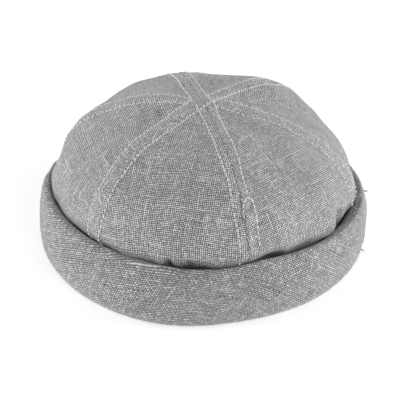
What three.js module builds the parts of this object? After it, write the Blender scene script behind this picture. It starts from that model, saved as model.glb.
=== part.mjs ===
// Docker beanie: a soft cap without a brim, sewn from six gores of linen, with a cuff turned up round it.
// Millimetres, +Z up. The front is towards -Y, and left and right are as seen from the front.
// The origin lies on the surface that the cap rests on, under the middle of its outline.
import * as THREE from "three";

const DEGREE = Math.PI / 180;

// The crown
const CROWN_HEIGHT = 94; // from the table to the point where the six gores meet
const EQUATOR_HEIGHT = 34; // where the crown is widest, just below the cuff's edge
const CROWN_EDGE_HEIGHT = 2.8; // the gores' lower edge, which stands in the fold of the cuff
const CROWN_EDGE_TAPER = 1; // how far the gores draw in from the equator to that edge
const CROWN_WALL = 1.5; // linen and its lining
const DOME_FULLNESS = 2.13; // exponent of the dome's height curve, 2 for an ellipse
const MIDDLE_FULLNESS = 2.2; // exponent of the crown's shoulder at its middle, the same for every gore
const MIDDLE_REACH = 38; // degrees of fall at which each gore has taken on its own fullness
const LENGTH_TO_WIDTH = 1.045; // a head is longer from front to back than from side to side
const SEAM_GAP = 0.3; // between neighbouring gores, and between a gore and the cuff
const TIP_RADIUS = 0.8; // where the gores end round the middle of the crown

// The cuff
const CUFF_WALL = 2.4; // two layers of linen with a soft layer between them
const FACING_WALL = 1.5; // the cuff's inner leaf, against the inside of the gores
const FACING_HEIGHT = 15;
const CUFF_EDGE_STANDOFF = 0.9; // from the crown to the inner face of the cuff's top edge
const CUFF_WIDEST_HEIGHT = 14;
const CUFF_LEAN = 3; // exponent of the lean from the widest line in to the top edge, higher for a fuller roll
const FOLD_TUCK = 4; // how far the fold draws in from the widest line down to the flat it rests on
const FOLD_FLAT = 4.5; // width of the flat on which the cap rests

// One row for each seam and each middle of a gore, round the cap from the seam at the front. Azimuths count
// counterclockwise from +X. Crown is the crown's half width at the equator, fullness the exponent of its
// shoulder, cuff the cuff's half width at its widest line and top the height of its upper edge.
const STATIONS = [
  { azimuth: -74, crown: 93.0, fullness: 2.28, cuff: 96.6, top: 39.9 }, // front seam
  { azimuth: -44, crown: 93.1, fullness: 2.05, cuff: 97.9, top: 40.2 },
  { azimuth: -14, crown: 93.5, fullness: 2.2, cuff: 98.9, top: 40.8 }, // right seam
  { azimuth: 16, crown: 93.2, fullness: 1.84, cuff: 99.6, top: 39.9 },
  { azimuth: 46, crown: 93.2, fullness: 2.95, cuff: 100.0, top: 39.1 }, // back right seam
  { azimuth: 76, crown: 93.5, fullness: 2.05, cuff: 100.2, top: 38.8 },
  { azimuth: 106, crown: 94.0, fullness: 2.55, cuff: 100.3, top: 38.8 }, // back seam
  { azimuth: 136, crown: 93.6, fullness: 2.2, cuff: 100.6, top: 39.1 },
  { azimuth: 166, crown: 93.6, fullness: 2.32, cuff: 100.4, top: 39.8 }, // left seam
  { azimuth: 196, crown: 92.4, fullness: 2.1, cuff: 99.2, top: 40.0 },
  { azimuth: 226, crown: 91.8, fullness: 2.6, cuff: 99.1, top: 40.1 }, // front left seam
  { azimuth: 256, crown: 93.3, fullness: 2.1, cuff: 99.9, top: 39.3 },
];
const STATION_STEP = 360 / STATIONS.length;

// Dents and puckers of the crown. Fall is the angle down from the crown's middle, 90 at the equator. Across
// and along are the dent's half widths in degrees, and depth is in millimetres, negative where it swells.
const DENTS = [
  { azimuth: 201, fall: 17, across: 15, along: 5, depth: 1.3 }, // crease beside the left seam
  { azimuth: 253, fall: 19, across: 16, along: 9, depth: 1.3 }, // hollow in front of the middle
  { azimuth: 130, fall: 25, across: 17, along: 14, depth: 1.9 }, // slack gore at the back left
  { azimuth: 80, fall: 22, across: 16, along: 14, depth: 1.6 }, // slack gore at the back
  { azimuth: -24, fall: 85, across: 6, along: 8, depth: 2.4 }, // tuck at the right, by the cuff
  { azimuth: -36, fall: 80, across: 7, along: 9, depth: -1.2 }, // the swelling beside it
  { azimuth: -66, fall: 87, across: 6, along: 6, depth: 1.5 }, // gather by the front seam
  { azimuth: -91, fall: 87, across: 4, along: 6, depth: 1.8 }, // front gathers
  { azimuth: -102, fall: 87, across: 3.5, along: 5, depth: 1.3 },
];

const GORES = [
  { name: "gore_front_right", from: -74 },
  { name: "gore_right", from: -14 },
  { name: "gore_back_right", from: 46 },
  { name: "gore_back_left", from: 106 },
  { name: "gore_left", from: 166 },
  { name: "gore_front_left", from: 226 },
];
const GORE_ANGLE = 360 / GORES.length;

// How finely the curved surfaces are cut into facets
const GORE_COLUMNS = 10;
const DOME_ROWS = 13;
const SKIRT_ROWS = 3;
const CUFF_STEPS = 72;

// The value of one of the stations' columns at any azimuth, on a smooth closed curve through all the rows.
function around(azimuth, column) {
  const place = (azimuth - STATIONS[0].azimuth) / STATION_STEP;
  const row = Math.floor(place);
  const t = place - row;
  const at = (shift) => STATIONS[THREE.MathUtils.euclideanModulo(row + shift, STATIONS.length)][column];
  const slopeHere = (at(1) - at(-1)) / 2;
  const slopeNext = (at(2) - at(0)) / 2;
  return (
    at(0) * (2 * t ** 3 - 3 * t ** 2 + 1) +
    slopeHere * (t ** 3 - 2 * t ** 2 + t) +
    at(1) * (3 * t ** 2 - 2 * t ** 3) +
    slopeNext * (t ** 3 - t ** 2)
  );
}

// A point of the cap from its azimuth, half width and height.
function planPoint(azimuth, halfWidth, height) {
  const angle = azimuth * DEGREE;
  return new THREE.Vector3(
    halfWidth * Math.cos(angle),
    halfWidth * Math.sin(angle) * LENGTH_TO_WIDTH,
    height,
  );
}

function dentDepth(azimuth, fall) {
  let depth = 0;
  for (const dent of DENTS) {
    const turn = THREE.MathUtils.euclideanModulo(azimuth - dent.azimuth + 180, 360) - 180;
    depth += dent.depth * Math.exp(-((turn / dent.across) ** 2) - ((fall - dent.fall) / dent.along) ** 2);
  }
  return depth;
}

// The crown's outer surface without its dents: the dome as far as 90 degrees of fall, and then the skirt
// inside the cuff, which counts on from 90 by the millimetre.
function smoothCrown(azimuth, fall) {
  const halfWidth = around(azimuth, "crown");
  if (fall > 90) {
    const drop = fall - 90;
    const share = drop / (EQUATOR_HEIGHT - CROWN_EDGE_HEIGHT);
    return planPoint(azimuth, halfWidth - CROWN_EDGE_TAPER * share ** 2, EQUATOR_HEIGHT - drop);
  }
  const own = THREE.MathUtils.smoothstep(fall, 0, MIDDLE_REACH);
  const fullness = THREE.MathUtils.lerp(MIDDLE_FULLNESS, around(azimuth, "fullness"), own);
  const reach = Math.sin(fall * DEGREE) ** (2 / fullness);
  const rise = Math.max(0, Math.cos(fall * DEGREE)) ** (2 / DOME_FULLNESS);
  const height = EQUATOR_HEIGHT + (CROWN_HEIGHT - EQUATOR_HEIGHT) * rise;
  return planPoint(azimuth, halfWidth * reach, height);
}

function crownNormal(azimuth, fall) {
  const step = 0.5;
  const low = Math.max(fall - step, 0.05);
  const along = smoothCrown(azimuth, fall + step).sub(smoothCrown(azimuth, low));
  const across = smoothCrown(azimuth + step, fall).sub(smoothCrown(azimuth - step, fall));
  return along.cross(across).normalize();
}

function crownPoint(azimuth, fall, inset) {
  const depth = dentDepth(azimuth, fall) + inset;
  return smoothCrown(azimuth, fall).addScaledVector(crownNormal(azimuth, fall), -depth);
}

// The falls of a gore's rows, from its tip to its lower edge.
function goreFalls() {
  const tip = 90 * (TIP_RADIUS / STATIONS[0].crown);
  const falls = [];
  for (let row = 0; row <= DOME_ROWS; row++) {
    falls.push(tip + ((90 - tip) * row) / DOME_ROWS);
  }
  for (let row = 1; row <= SKIRT_ROWS; row++) {
    falls.push(90 + ((EQUATOR_HEIGHT - CROWN_EDGE_HEIGHT) * row) / SKIRT_ROWS);
  }
  return falls;
}

// A closed solid from two grids of points that face each other, such as the two sides of a piece of cloth.
function sheetGeometry(outer, inner) {
  const rows = outer.length;
  const columns = outer[0].length;
  const points = [...outer.flat(), ...inner.flat()];
  const outerAt = (row, column) => row * columns + column;
  const innerAt = (row, column) => rows * columns + row * columns + column;
  const faces = [];
  const quad = (a, b, c, d) => faces.push(a, b, c, a, c, d);
  for (let row = 0; row + 1 < rows; row++) {
    for (let column = 0; column + 1 < columns; column++) {
      quad(
        outerAt(row, column),
        outerAt(row + 1, column),
        outerAt(row + 1, column + 1),
        outerAt(row, column + 1),
      );
      quad(
        innerAt(row, column),
        innerAt(row, column + 1),
        innerAt(row + 1, column + 1),
        innerAt(row + 1, column),
      );
    }
    const last = columns - 1;
    quad(outerAt(row, 0), innerAt(row, 0), innerAt(row + 1, 0), outerAt(row + 1, 0));
    quad(outerAt(row, last), outerAt(row + 1, last), innerAt(row + 1, last), innerAt(row, last));
  }
  for (let column = 0; column + 1 < columns; column++) {
    const last = rows - 1;
    quad(outerAt(0, column), outerAt(0, column + 1), innerAt(0, column + 1), innerAt(0, column));
    quad(outerAt(last, column), innerAt(last, column), innerAt(last, column + 1), outerAt(last, column + 1));
  }
  return meshGeometry(points, faces);
}

function meshGeometry(points, faces) {
  const geometry = new THREE.BufferGeometry().setFromPoints(points);
  geometry.setIndex(faces);
  geometry.computeVertexNormals();
  return geometry;
}

// One gore of the crown, from the seam at its first azimuth to the next seam.
function goreGeometry(from) {
  const outer = [];
  const inner = [];
  for (const fall of goreFalls()) {
    const middle = smoothCrown(from + GORE_ANGLE / 2, fall);
    const radius = Math.hypot(middle.x, middle.y);
    const margin = Math.asin(SEAM_GAP / 2 / radius) / DEGREE;
    const azimuths = Array.from(
      { length: GORE_COLUMNS + 1 },
      (_, column) => from + margin + ((GORE_ANGLE - 2 * margin) * column) / GORE_COLUMNS,
    );
    outer.push(azimuths.map((azimuth) => crownPoint(azimuth, fall, 0)));
    inner.push(azimuths.map((azimuth) => crownPoint(azimuth, fall, CROWN_WALL)));
  }
  return sheetGeometry(outer, inner);
}

// The cuff's section at an azimuth, as half widths and heights: up the outside from the flat, over the top
// edge, down inside to the fold's floor, and up and down the facing inside the gores.
function cuffSection(azimuth) {
  const crown = around(azimuth, "crown");
  const widest = around(azimuth, "cuff");
  const top = around(azimuth, "top");
  const flatOuter = widest - FOLD_TUCK;
  const flatInner = flatOuter - FOLD_FLAT;
  const edgeInner = crown + CUFF_EDGE_STANDOFF;
  const edgeOuter = edgeInner + CUFF_WALL;
  const facingOuter = crown - CROWN_EDGE_TAPER - CROWN_WALL - SEAM_GAP;
  const facingInner = facingOuter - FACING_WALL;
  const section = [[flatOuter, 0]];
  for (const angle of [30, 60, 90]) {
    section.push([
      flatOuter + FOLD_TUCK * Math.sin(angle * DEGREE),
      CUFF_WIDEST_HEIGHT * (1 - Math.cos(angle * DEGREE)),
    ]);
  }
  const edgeRound = CUFF_WALL / 2;
  const shoulder = top - edgeRound;
  for (const share of [0.45, 0.8, 1]) {
    const lean = 1 - share ** CUFF_LEAN;
    section.push([
      edgeOuter + (widest - edgeOuter) * lean,
      CUFF_WIDEST_HEIGHT + (shoulder - CUFF_WIDEST_HEIGHT) * share,
    ]);
  }
  for (const angle of [60, 120, 180]) {
    section.push([
      edgeInner + edgeRound * (1 + Math.cos(angle * DEGREE)),
      shoulder + edgeRound * Math.sin(angle * DEGREE),
    ]);
  }
  const innerWidest = widest - CUFF_WALL;
  for (const share of [0.7, 0]) {
    const lean = 1 - share ** CUFF_LEAN;
    section.push([
      edgeInner + (innerWidest - edgeInner) * lean,
      CUFF_WIDEST_HEIGHT + (shoulder - CUFF_WIDEST_HEIGHT) * share,
    ]);
  }
  const floor = CROWN_EDGE_HEIGHT - SEAM_GAP;
  section.push([flatOuter + FOLD_TUCK / 3, floor + CUFF_WALL]);
  section.push([flatOuter - SEAM_GAP, floor]);
  section.push([facingOuter, floor]);
  section.push([facingOuter, FACING_HEIGHT - FACING_WALL / 2]);
  section.push([facingOuter - FACING_WALL / 2, FACING_HEIGHT]);
  section.push([facingInner, FACING_HEIGHT - FACING_WALL / 2]);
  section.push([facingInner, floor]);
  section.push([flatInner, 0]);
  return section;
}

// A closed ring swept round the cap through the sections at even azimuths.
function cuffGeometry() {
  const points = [];
  const faces = [];
  const corners = cuffSection(0).length;
  for (let step = 0; step < CUFF_STEPS; step++) {
    const azimuth = (360 * step) / CUFF_STEPS;
    for (const [halfWidth, height] of cuffSection(azimuth)) {
      points.push(planPoint(azimuth, halfWidth, height));
    }
    const here = step * corners;
    const next = ((step + 1) % CUFF_STEPS) * corners;
    for (let corner = 0; corner < corners; corner++) {
      const after = (corner + 1) % corners;
      faces.push(here + corner, next + corner, next + after);
      faces.push(here + corner, next + after, here + after);
    }
  }
  return meshGeometry(points, faces);
}

function linen(color) {
  return new THREE.MeshStandardMaterial({ color, roughness: 0.95, metalness: 0, side: THREE.DoubleSide });
}

function namedMesh(name, geometry, material) {
  const mesh = new THREE.Mesh(geometry, material);
  mesh.name = name;
  return mesh;
}

const cap = new THREE.Group();
const crown = new THREE.Group();
for (const { name, from } of GORES) {
  crown.add(namedMesh(name, goreGeometry(from), linen("#9d9d9d")));
}
cap.add(crown, namedMesh("cuff", cuffGeometry(), linen("#999999")));

// The cuff sets the outline, so its middle goes over the origin.
const outline = new THREE.Box3().setFromObject(cap, true);
const middle = outline.getCenter(new THREE.Vector3());
cap.position.set(-middle.x, -middle.y, 0);

export default cap;
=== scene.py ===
"""Docker beanie in grey slub linen: six topstitched gores, and a soft cuff turned up round them.

The dataclasses hold the cap's sizes in millimetres and its angles in degrees, and meshes are made in metres.
Azimuths count counterclockwise from +X, so the front of the cap is at -90. Fall is the angle down from the
middle of the crown, 90 at its widest line, and past 90 it counts on by the millimetre down the crown's edge.
A stretch is a pair of values between which something sets in or fades out.
"""

from __future__ import annotations

import logging
import math
from dataclasses import dataclass, field
from enum import Enum

import bpy
import numpy as np
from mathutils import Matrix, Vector

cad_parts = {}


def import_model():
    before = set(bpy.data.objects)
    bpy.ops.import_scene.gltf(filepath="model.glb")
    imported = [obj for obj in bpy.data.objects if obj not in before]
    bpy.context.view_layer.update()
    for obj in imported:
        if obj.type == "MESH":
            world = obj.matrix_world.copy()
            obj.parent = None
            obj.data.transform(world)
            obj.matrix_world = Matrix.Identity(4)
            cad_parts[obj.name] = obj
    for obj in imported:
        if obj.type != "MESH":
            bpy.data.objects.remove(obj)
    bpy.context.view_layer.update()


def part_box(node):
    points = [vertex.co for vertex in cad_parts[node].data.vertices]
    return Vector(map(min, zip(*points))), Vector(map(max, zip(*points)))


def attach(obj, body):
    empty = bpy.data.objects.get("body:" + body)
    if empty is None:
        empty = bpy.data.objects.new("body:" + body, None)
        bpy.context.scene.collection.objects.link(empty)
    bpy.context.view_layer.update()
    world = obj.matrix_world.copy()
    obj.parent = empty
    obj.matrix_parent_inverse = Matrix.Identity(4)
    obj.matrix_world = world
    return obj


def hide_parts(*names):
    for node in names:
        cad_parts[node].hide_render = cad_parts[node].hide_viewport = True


Stretch = tuple[float, float]
Faces = list[tuple[int, ...]]

LOG = logging.getLogger("docker_beanie")
MM = 0.001
TINY = 1e-9
QUARTER_TURN = 90.0
FULL_TURN = 360.0
GRAIN_UV = "grain"
# The mesh attribute that pales the seams' ridges, and below 0 holds painted shade of the crevice.
PALING_AND_SHADE = "paling_and_shade"
BODY = "root"
# The sRGB curve is straight near black, and a power of the value above that.
SRGB_STRAIGHT_END = 0.04045
SRGB_STRAIGHT_SLOPE = 12.92
SRGB_OFFSET = 0.055
SRGB_POWER = 2.4
HEX_LARGEST = 255


def linear_colour(code: str) -> tuple[float, float, float, float]:
    """Turns an sRGB hex colour into the linear colour that a shader takes.

    Args:
        code: the colour as six hex digits.

    Returns:
        Linear red, green, blue and an alpha of one.
    """
    parts = [int(code[start : start + 2], 16) / HEX_LARGEST for start in (0, 2, 4)]
    linear = [
        part / SRGB_STRAIGHT_SLOPE
        if part <= SRGB_STRAIGHT_END
        else ((part + SRGB_OFFSET) / (1.0 + SRGB_OFFSET)) ** SRGB_POWER
        for part in parts
    ]
    return (*linear, 1.0)


def smooth_share(value: np.ndarray, low: np.ndarray | float, high: np.ndarray | float) -> np.ndarray:
    """Rises smoothly from 0 at low to 1 at high.

    Args:
        value: where to take the share.
        low: where it leaves 0.
        high: where it reaches 1.

    Returns:
        The share for each value.
    """
    share = np.clip((value - low) / (high - low), 0.0, 1.0)
    return share * share * (3.0 - 2.0 * share)


def smooth_window(value: np.ndarray, rise: Stretch, fall: Stretch) -> np.ndarray:
    """Rises smoothly from 0 to 1 over one stretch, and falls back to 0 over a later one."""
    return smooth_share(value, *rise) * (1.0 - smooth_share(value, *fall))


def bell(value: np.ndarray, width: float) -> np.ndarray:
    """A smooth bump of height 1 at 0, with that half width."""
    return np.exp(-((value / width) ** 2))


def plan_direction(azimuth: np.ndarray | float) -> tuple[np.ndarray, np.ndarray]:
    """The cosine and sine of an azimuth in degrees."""
    angle = np.radians(azimuth)
    return np.cos(angle), np.sin(angle)


def turn_between(azimuth: np.ndarray | float, start: float) -> np.ndarray | float:
    """The turn from one azimuth to another, at most half a turn either way."""
    return np.mod(azimuth - start + FULL_TURN / 2.0, FULL_TURN) - FULL_TURN / 2.0


def unit(vectors: np.ndarray) -> np.ndarray:
    """Vectors of length 1 along the last axis."""
    return vectors / np.maximum(np.linalg.norm(vectors, axis=-1, keepdims=True), TINY)


def axis_distance(points: np.ndarray) -> np.ndarray:
    """How far points lie from the cap's upright axis."""
    return np.hypot(points[..., 0], points[..., 1])


def running_length(points: np.ndarray) -> np.ndarray:
    """The length of a line of points up to each of them, 0 at the first."""
    return np.concatenate([[0.0], np.cumsum(np.linalg.norm(np.diff(points, axis=0), axis=1))])


def quad_faces(*corners: np.ndarray) -> Faces:
    """Faces from four arrays of vertex numbers, which go round each face so that it faces out."""
    return [tuple(face) for face in np.stack(corners, -1).reshape(-1, 4).tolist()]


def at_corners(values: np.ndarray, faces: Faces) -> np.ndarray:
    """The vertices' values, given to each corner of each face in turn."""
    return values[np.array([corner for face in faces for corner in face])]


def add_node(
    tree: bpy.types.NodeTree,
    kind: str,
    inputs: dict[str | int, object] | None = None,
    **settings: object,
) -> bpy.types.Node:
    """Adds a node to a material, with its settings, values and links.

    Args:
        tree: the node tree.
        kind: the node's type name.
        inputs: what each input takes, by name or number: another node's output to link, or a value.
        settings: attributes of the node.

    Returns:
        The new node.
    """
    node = tree.nodes.new(kind)
    for name, value in settings.items():
        setattr(node, name, value)
    for key, value in (inputs or {}).items():
        if isinstance(value, bpy.types.NodeSocket):
            tree.links.new(value, node.inputs[key])
        else:
            node.inputs[key].default_value = value
    return node


def new_material(name: str) -> tuple[bpy.types.Material, bpy.types.NodeTree]:
    """Starts a material that has no nodes yet.

    Args:
        name: the material's name.

    Returns:
        The material and its node tree.
    """
    made = bpy.data.materials.new(name)
    made.use_nodes = True
    made.node_tree.nodes.clear()
    return made, made.node_tree


def add_object(name: str, content: bpy.types.ID) -> bpy.types.Object:
    """Puts a mesh, a light or a camera into the scene.

    Args:
        name: the object's name.
        content: its mesh, light or camera.

    Returns:
        The object.
    """
    made = bpy.data.objects.new(name, content)
    bpy.context.scene.collection.objects.link(made)
    return made


class Seam(Enum):
    """The crown's six seams, by azimuth."""

    FRONT = -74.0
    RIGHT = -14.0
    BACK_RIGHT = 46.0
    BACK = 106.0
    LEFT = 166.0
    FRONT_LEFT = 226.0


class Gore(Enum):
    """The crown's six gores, by the azimuth of the seam that each starts from."""

    FRONT_RIGHT = Seam.FRONT.value
    RIGHT = Seam.RIGHT.value
    BACK_RIGHT = Seam.BACK_RIGHT.value
    BACK_LEFT = Seam.BACK.value
    LEFT = Seam.LEFT.value
    FRONT_LEFT = Seam.FRONT_LEFT.value


@dataclass(frozen=True)
class Station:
    """The cap's form at one azimuth, which is a seam or the middle of a gore."""

    azimuth: float
    crown: float
    fullness: float
    cuff: float
    top: float


@dataclass(frozen=True)
class Dent:
    """A dent of the crown, or a swelling where its depth is negative."""

    azimuth: float
    fall: float
    across: float
    along: float
    depth: float


def dent_depth(dents: tuple[Dent, ...], azimuth: np.ndarray, fall: np.ndarray) -> np.ndarray:
    """How deep the crown is dented.

    Args:
        dents: the dents.
        azimuth: the azimuths, in degrees.
        fall: the falls.

    Returns:
        The depth in millimetres.
    """
    depth = np.zeros(np.broadcast(azimuth, fall).shape)
    for dent in dents:
        turn = turn_between(azimuth, dent.azimuth)
        depth = depth + dent.depth * bell(turn, dent.across) * bell(fall - dent.fall, dent.along)
    return depth


@dataclass(frozen=True)
class Ripples:
    """Soft unevenness of cloth, as waves in many directions.

    Length is the waves' typical length and height their typical height, both in millimetres.
    """

    length: float
    height: float
    seed: int
    waves: int = 20
    spread: Stretch = (0.75, 1.4)  # the shortest and longest wave, as shares of the length

    def at(self, points: np.ndarray) -> np.ndarray:
        """The unevenness at points in millimetres.

        Args:
            points: an array whose last axis is x, y and z.

        Returns:
            The height at each point.
        """
        draw = np.random.default_rng(self.seed)
        directions = unit(draw.normal(size=(self.waves, 3)))
        lengths = self.length * draw.uniform(*self.spread, self.waves)
        phases = draw.uniform(0.0, 2.0 * math.pi, self.waves)
        turns = points @ (directions * (2.0 * math.pi / lengths)[:, None]).T + phases
        return self.height * math.sqrt(2.0 / self.waves) * np.cos(turns).sum(-1)


@dataclass(frozen=True)
class EdgeDip:
    """A stretch where the cuff's edge sags, or rides up where its depth is negative."""

    azimuth: float
    reach: float
    depth: float


@dataclass(frozen=True)
class CapForm:
    """The smooth form that every piece follows, by the same sizes as the solid model."""

    crown_height: float = 94.0
    equator_height: float = 34.0
    crown_edge_height: float = 2.8
    crown_edge_taper: float = 1.0
    crown_wall: float = 1.5
    dome_fullness: float = 2.13
    middle_fullness: float = 2.2
    middle_reach: float = 38.0
    length_to_width: float = 1.045
    gore_angle: float = 60.0
    typical_half_width: float = 100.0
    normal_step: float = 0.5
    least_fall: float = 0.05
    outline_step: float = 5.0
    edge_hang: float = 3.4
    edge_hang_azimuth: float = -60.0
    edge_dips: tuple[EdgeDip, ...] = (
        EdgeDip(152.0, 19.0, 4.4),
        EdgeDip(-68.0, 11.0, -1.6),
        EdgeDip(-24.0, 11.0, 2.0),
        EdgeDip(20.0, 15.0, 4.0),
    )
    edge_waver: Ripples = Ripples(70.0, 0.45, 41)
    # The crown and the cuff's edge both turn in towards the dark crevice between them, and the cloth
    # towards it is painted darker, as painted shade.
    round_radius: float = 7.4
    round_swing: float = 2.8
    round_azimuth: float = -78.0
    crevice_angle: float = 52.0
    crevice_drop: float = 1.7
    crevice_gap: float = 1.3
    crevice_shade: float = 5.5
    stations: tuple[Station, ...] = (
        Station(-74, 93.0, 2.28, 96.6, 39.9),
        Station(-44, 93.1, 2.05, 97.9, 40.2),
        Station(-14, 93.5, 2.2, 98.9, 40.8),
        Station(16, 93.2, 1.84, 99.6, 39.9),
        Station(46, 93.2, 2.95, 100.0, 39.1),
        Station(76, 93.5, 2.05, 100.2, 38.8),
        Station(106, 94.0, 2.55, 100.3, 38.8),
        Station(136, 93.6, 2.2, 100.6, 39.1),
        Station(166, 93.6, 2.32, 100.4, 39.8),
        Station(196, 92.4, 2.1, 99.2, 40.0),
        Station(226, 91.8, 2.6, 99.1, 40.1),
        Station(256, 93.3, 2.1, 99.9, 39.3),
    )
    dents: tuple[Dent, ...] = (
        Dent(201, 17, 15, 5, 1.3),
        Dent(253, 19, 16, 9, 1.3),
        Dent(130, 25, 17, 14, 1.9),
        Dent(80, 22, 16, 14, 1.6),
        Dent(-24, 85, 6, 8, 2.4),
        Dent(-36, 80, 7, 9, -1.2),
        Dent(-66, 87, 6, 6, 1.5),
        Dent(-91, 87, 4, 6, 1.8),
        Dent(-102, 87, 3.5, 5, 1.3),
    )

    def around(self, azimuth: np.ndarray | float, column: str) -> np.ndarray:
        """One of the stations' values at any azimuth, on a smooth closed curve through all of them.

        Args:
            azimuth: the azimuths, in degrees.
            column: the name of the stations' value.

        Returns:
            The value at each azimuth.
        """
        values = np.array([getattr(station, column) for station in self.stations])
        step = FULL_TURN / len(values)
        place = (np.asarray(azimuth, float) - self.stations[0].azimuth) / step
        row = np.floor(place).astype(int)
        share = place - row
        before, here, after, beyond = (values[(row + shift) % len(values)] for shift in (-1, 0, 1, 2))
        slope_here = (after - before) / 2.0
        slope_after = (beyond - here) / 2.0
        square, cube = share**2, share**3
        return (
            here * (2.0 * cube - 3.0 * square + 1.0)
            + slope_here * (cube - 2.0 * square + share)
            + after * (3.0 * square - 2.0 * cube)
            + slope_after * (cube - square)
        )

    def plan_point(self, azimuth: np.ndarray, half_width: np.ndarray, height: np.ndarray) -> np.ndarray:
        """Points of the cap from their azimuths, half widths and heights.

        Args:
            azimuth: the azimuths, in degrees.
            half_width: how far out they lie, before the cap's length is stretched.
            height: the heights above the surface, in millimetres.

        Returns:
            Points in millimetres.
        """
        across, forth = plan_direction(azimuth)
        parts = (half_width * across, half_width * forth * self.length_to_width, height)
        return np.stack(np.broadcast_arrays(*parts), axis=-1)

    def crown_fullness(self, azimuth: np.ndarray, fall: np.ndarray) -> np.ndarray:
        """The exponent of the crown's shoulder, which every gore shares at the middle of the crown."""
        own = smooth_share(fall, 0.0, self.middle_reach)
        return self.middle_fullness + (self.around(azimuth, "fullness") - self.middle_fullness) * own

    def crown_point(self, azimuth: np.ndarray, fall: np.ndarray) -> np.ndarray:
        """The crown's outer surface without its dents and seams.

        Args:
            azimuth: the azimuths, in degrees.
            fall: the falls, in degrees, and in millimetres past 90.

        Returns:
            Points in millimetres.
        """
        azimuth, fall = np.broadcast_arrays(np.asarray(azimuth, float), np.asarray(fall, float))
        half_width = self.around(azimuth, "crown")
        dome_fall = np.radians(np.minimum(fall, QUARTER_TURN))
        reach = np.sin(dome_fall) ** (2.0 / self.crown_fullness(azimuth, fall))
        rise = np.clip(np.cos(dome_fall), 0.0, 1.0) ** (2.0 / self.dome_fullness)
        drop = np.maximum(fall - QUARTER_TURN, 0.0)
        taper = self.crown_edge_taper * (drop / (self.equator_height - self.crown_edge_height)) ** 2
        height = self.equator_height + (self.crown_height - self.equator_height) * rise - drop
        return self.plan_point(azimuth, half_width * reach - taper, height)

    def crown_normal(self, azimuth: np.ndarray, fall: np.ndarray) -> np.ndarray:
        """The outward directions of the smooth crown.

        Args:
            azimuth: the azimuths, in degrees.
            fall: the falls, in degrees, and in millimetres past 90.

        Returns:
            Directions of length 1.
        """
        step = self.normal_step
        low = np.maximum(fall - step, self.least_fall)
        along = self.crown_point(azimuth, fall + step) - self.crown_point(azimuth, low)
        across = self.crown_point(azimuth + step, fall) - self.crown_point(azimuth - step, fall)
        return unit(np.cross(along, across))

    def edge_top(self, azimuth: np.ndarray | float) -> np.ndarray:
        """The height of the cuff's soft edge, which wavers, hangs lower in front and sags in places.

        Args:
            azimuth: the azimuths, in degrees.

        Returns:
            The height at each azimuth, in millimetres.
        """
        across, forth = plan_direction(azimuth)
        circle = np.stack([across, forth, np.zeros(np.shape(across))], -1) * self.typical_half_width
        front = np.cos(np.radians(azimuth - self.edge_hang_azimuth))
        hang = self.edge_hang * np.maximum(front, 0.0)
        for dip in self.edge_dips:
            hang = hang + dip.depth * bell(turn_between(azimuth, dip.azimuth), dip.reach)
        return self.around(azimuth, "top") + self.edge_waver.at(circle) - hang

    def edge_radius(self, azimuth: np.ndarray | float) -> np.ndarray:
        """How roundly the crown turns in under the cuff's edge, most at the right of the front."""
        turn = np.cos(np.radians(azimuth - self.round_azimuth))
        return self.round_radius + self.round_swing * turn

    def crevice_pull(self, azimuth: np.ndarray | float) -> np.ndarray:
        """How far the crown has turned in where it meets the cuff's edge."""
        return self.edge_radius(azimuth) * (1.0 - math.cos(math.radians(self.crevice_angle)))

    def shift(self) -> np.ndarray:
        """How far the form's own middle lies from the frame's origin, measured on the cuff's solid.

        Returns:
            The shift in millimetres, level with the surface.
        """
        azimuths = np.arange(0.0, FULL_TURN, self.outline_step)
        outline = self.plan_point(azimuths, self.around(azimuths, "cuff"), np.zeros(azimuths.shape))
        own_middle = (outline.min(0) + outline.max(0)) / 2.0
        low, high = (np.array(corner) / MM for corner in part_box("cuff"))
        return np.array([*((low + high) / 2.0 - own_middle)[:2], 0.0])


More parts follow.
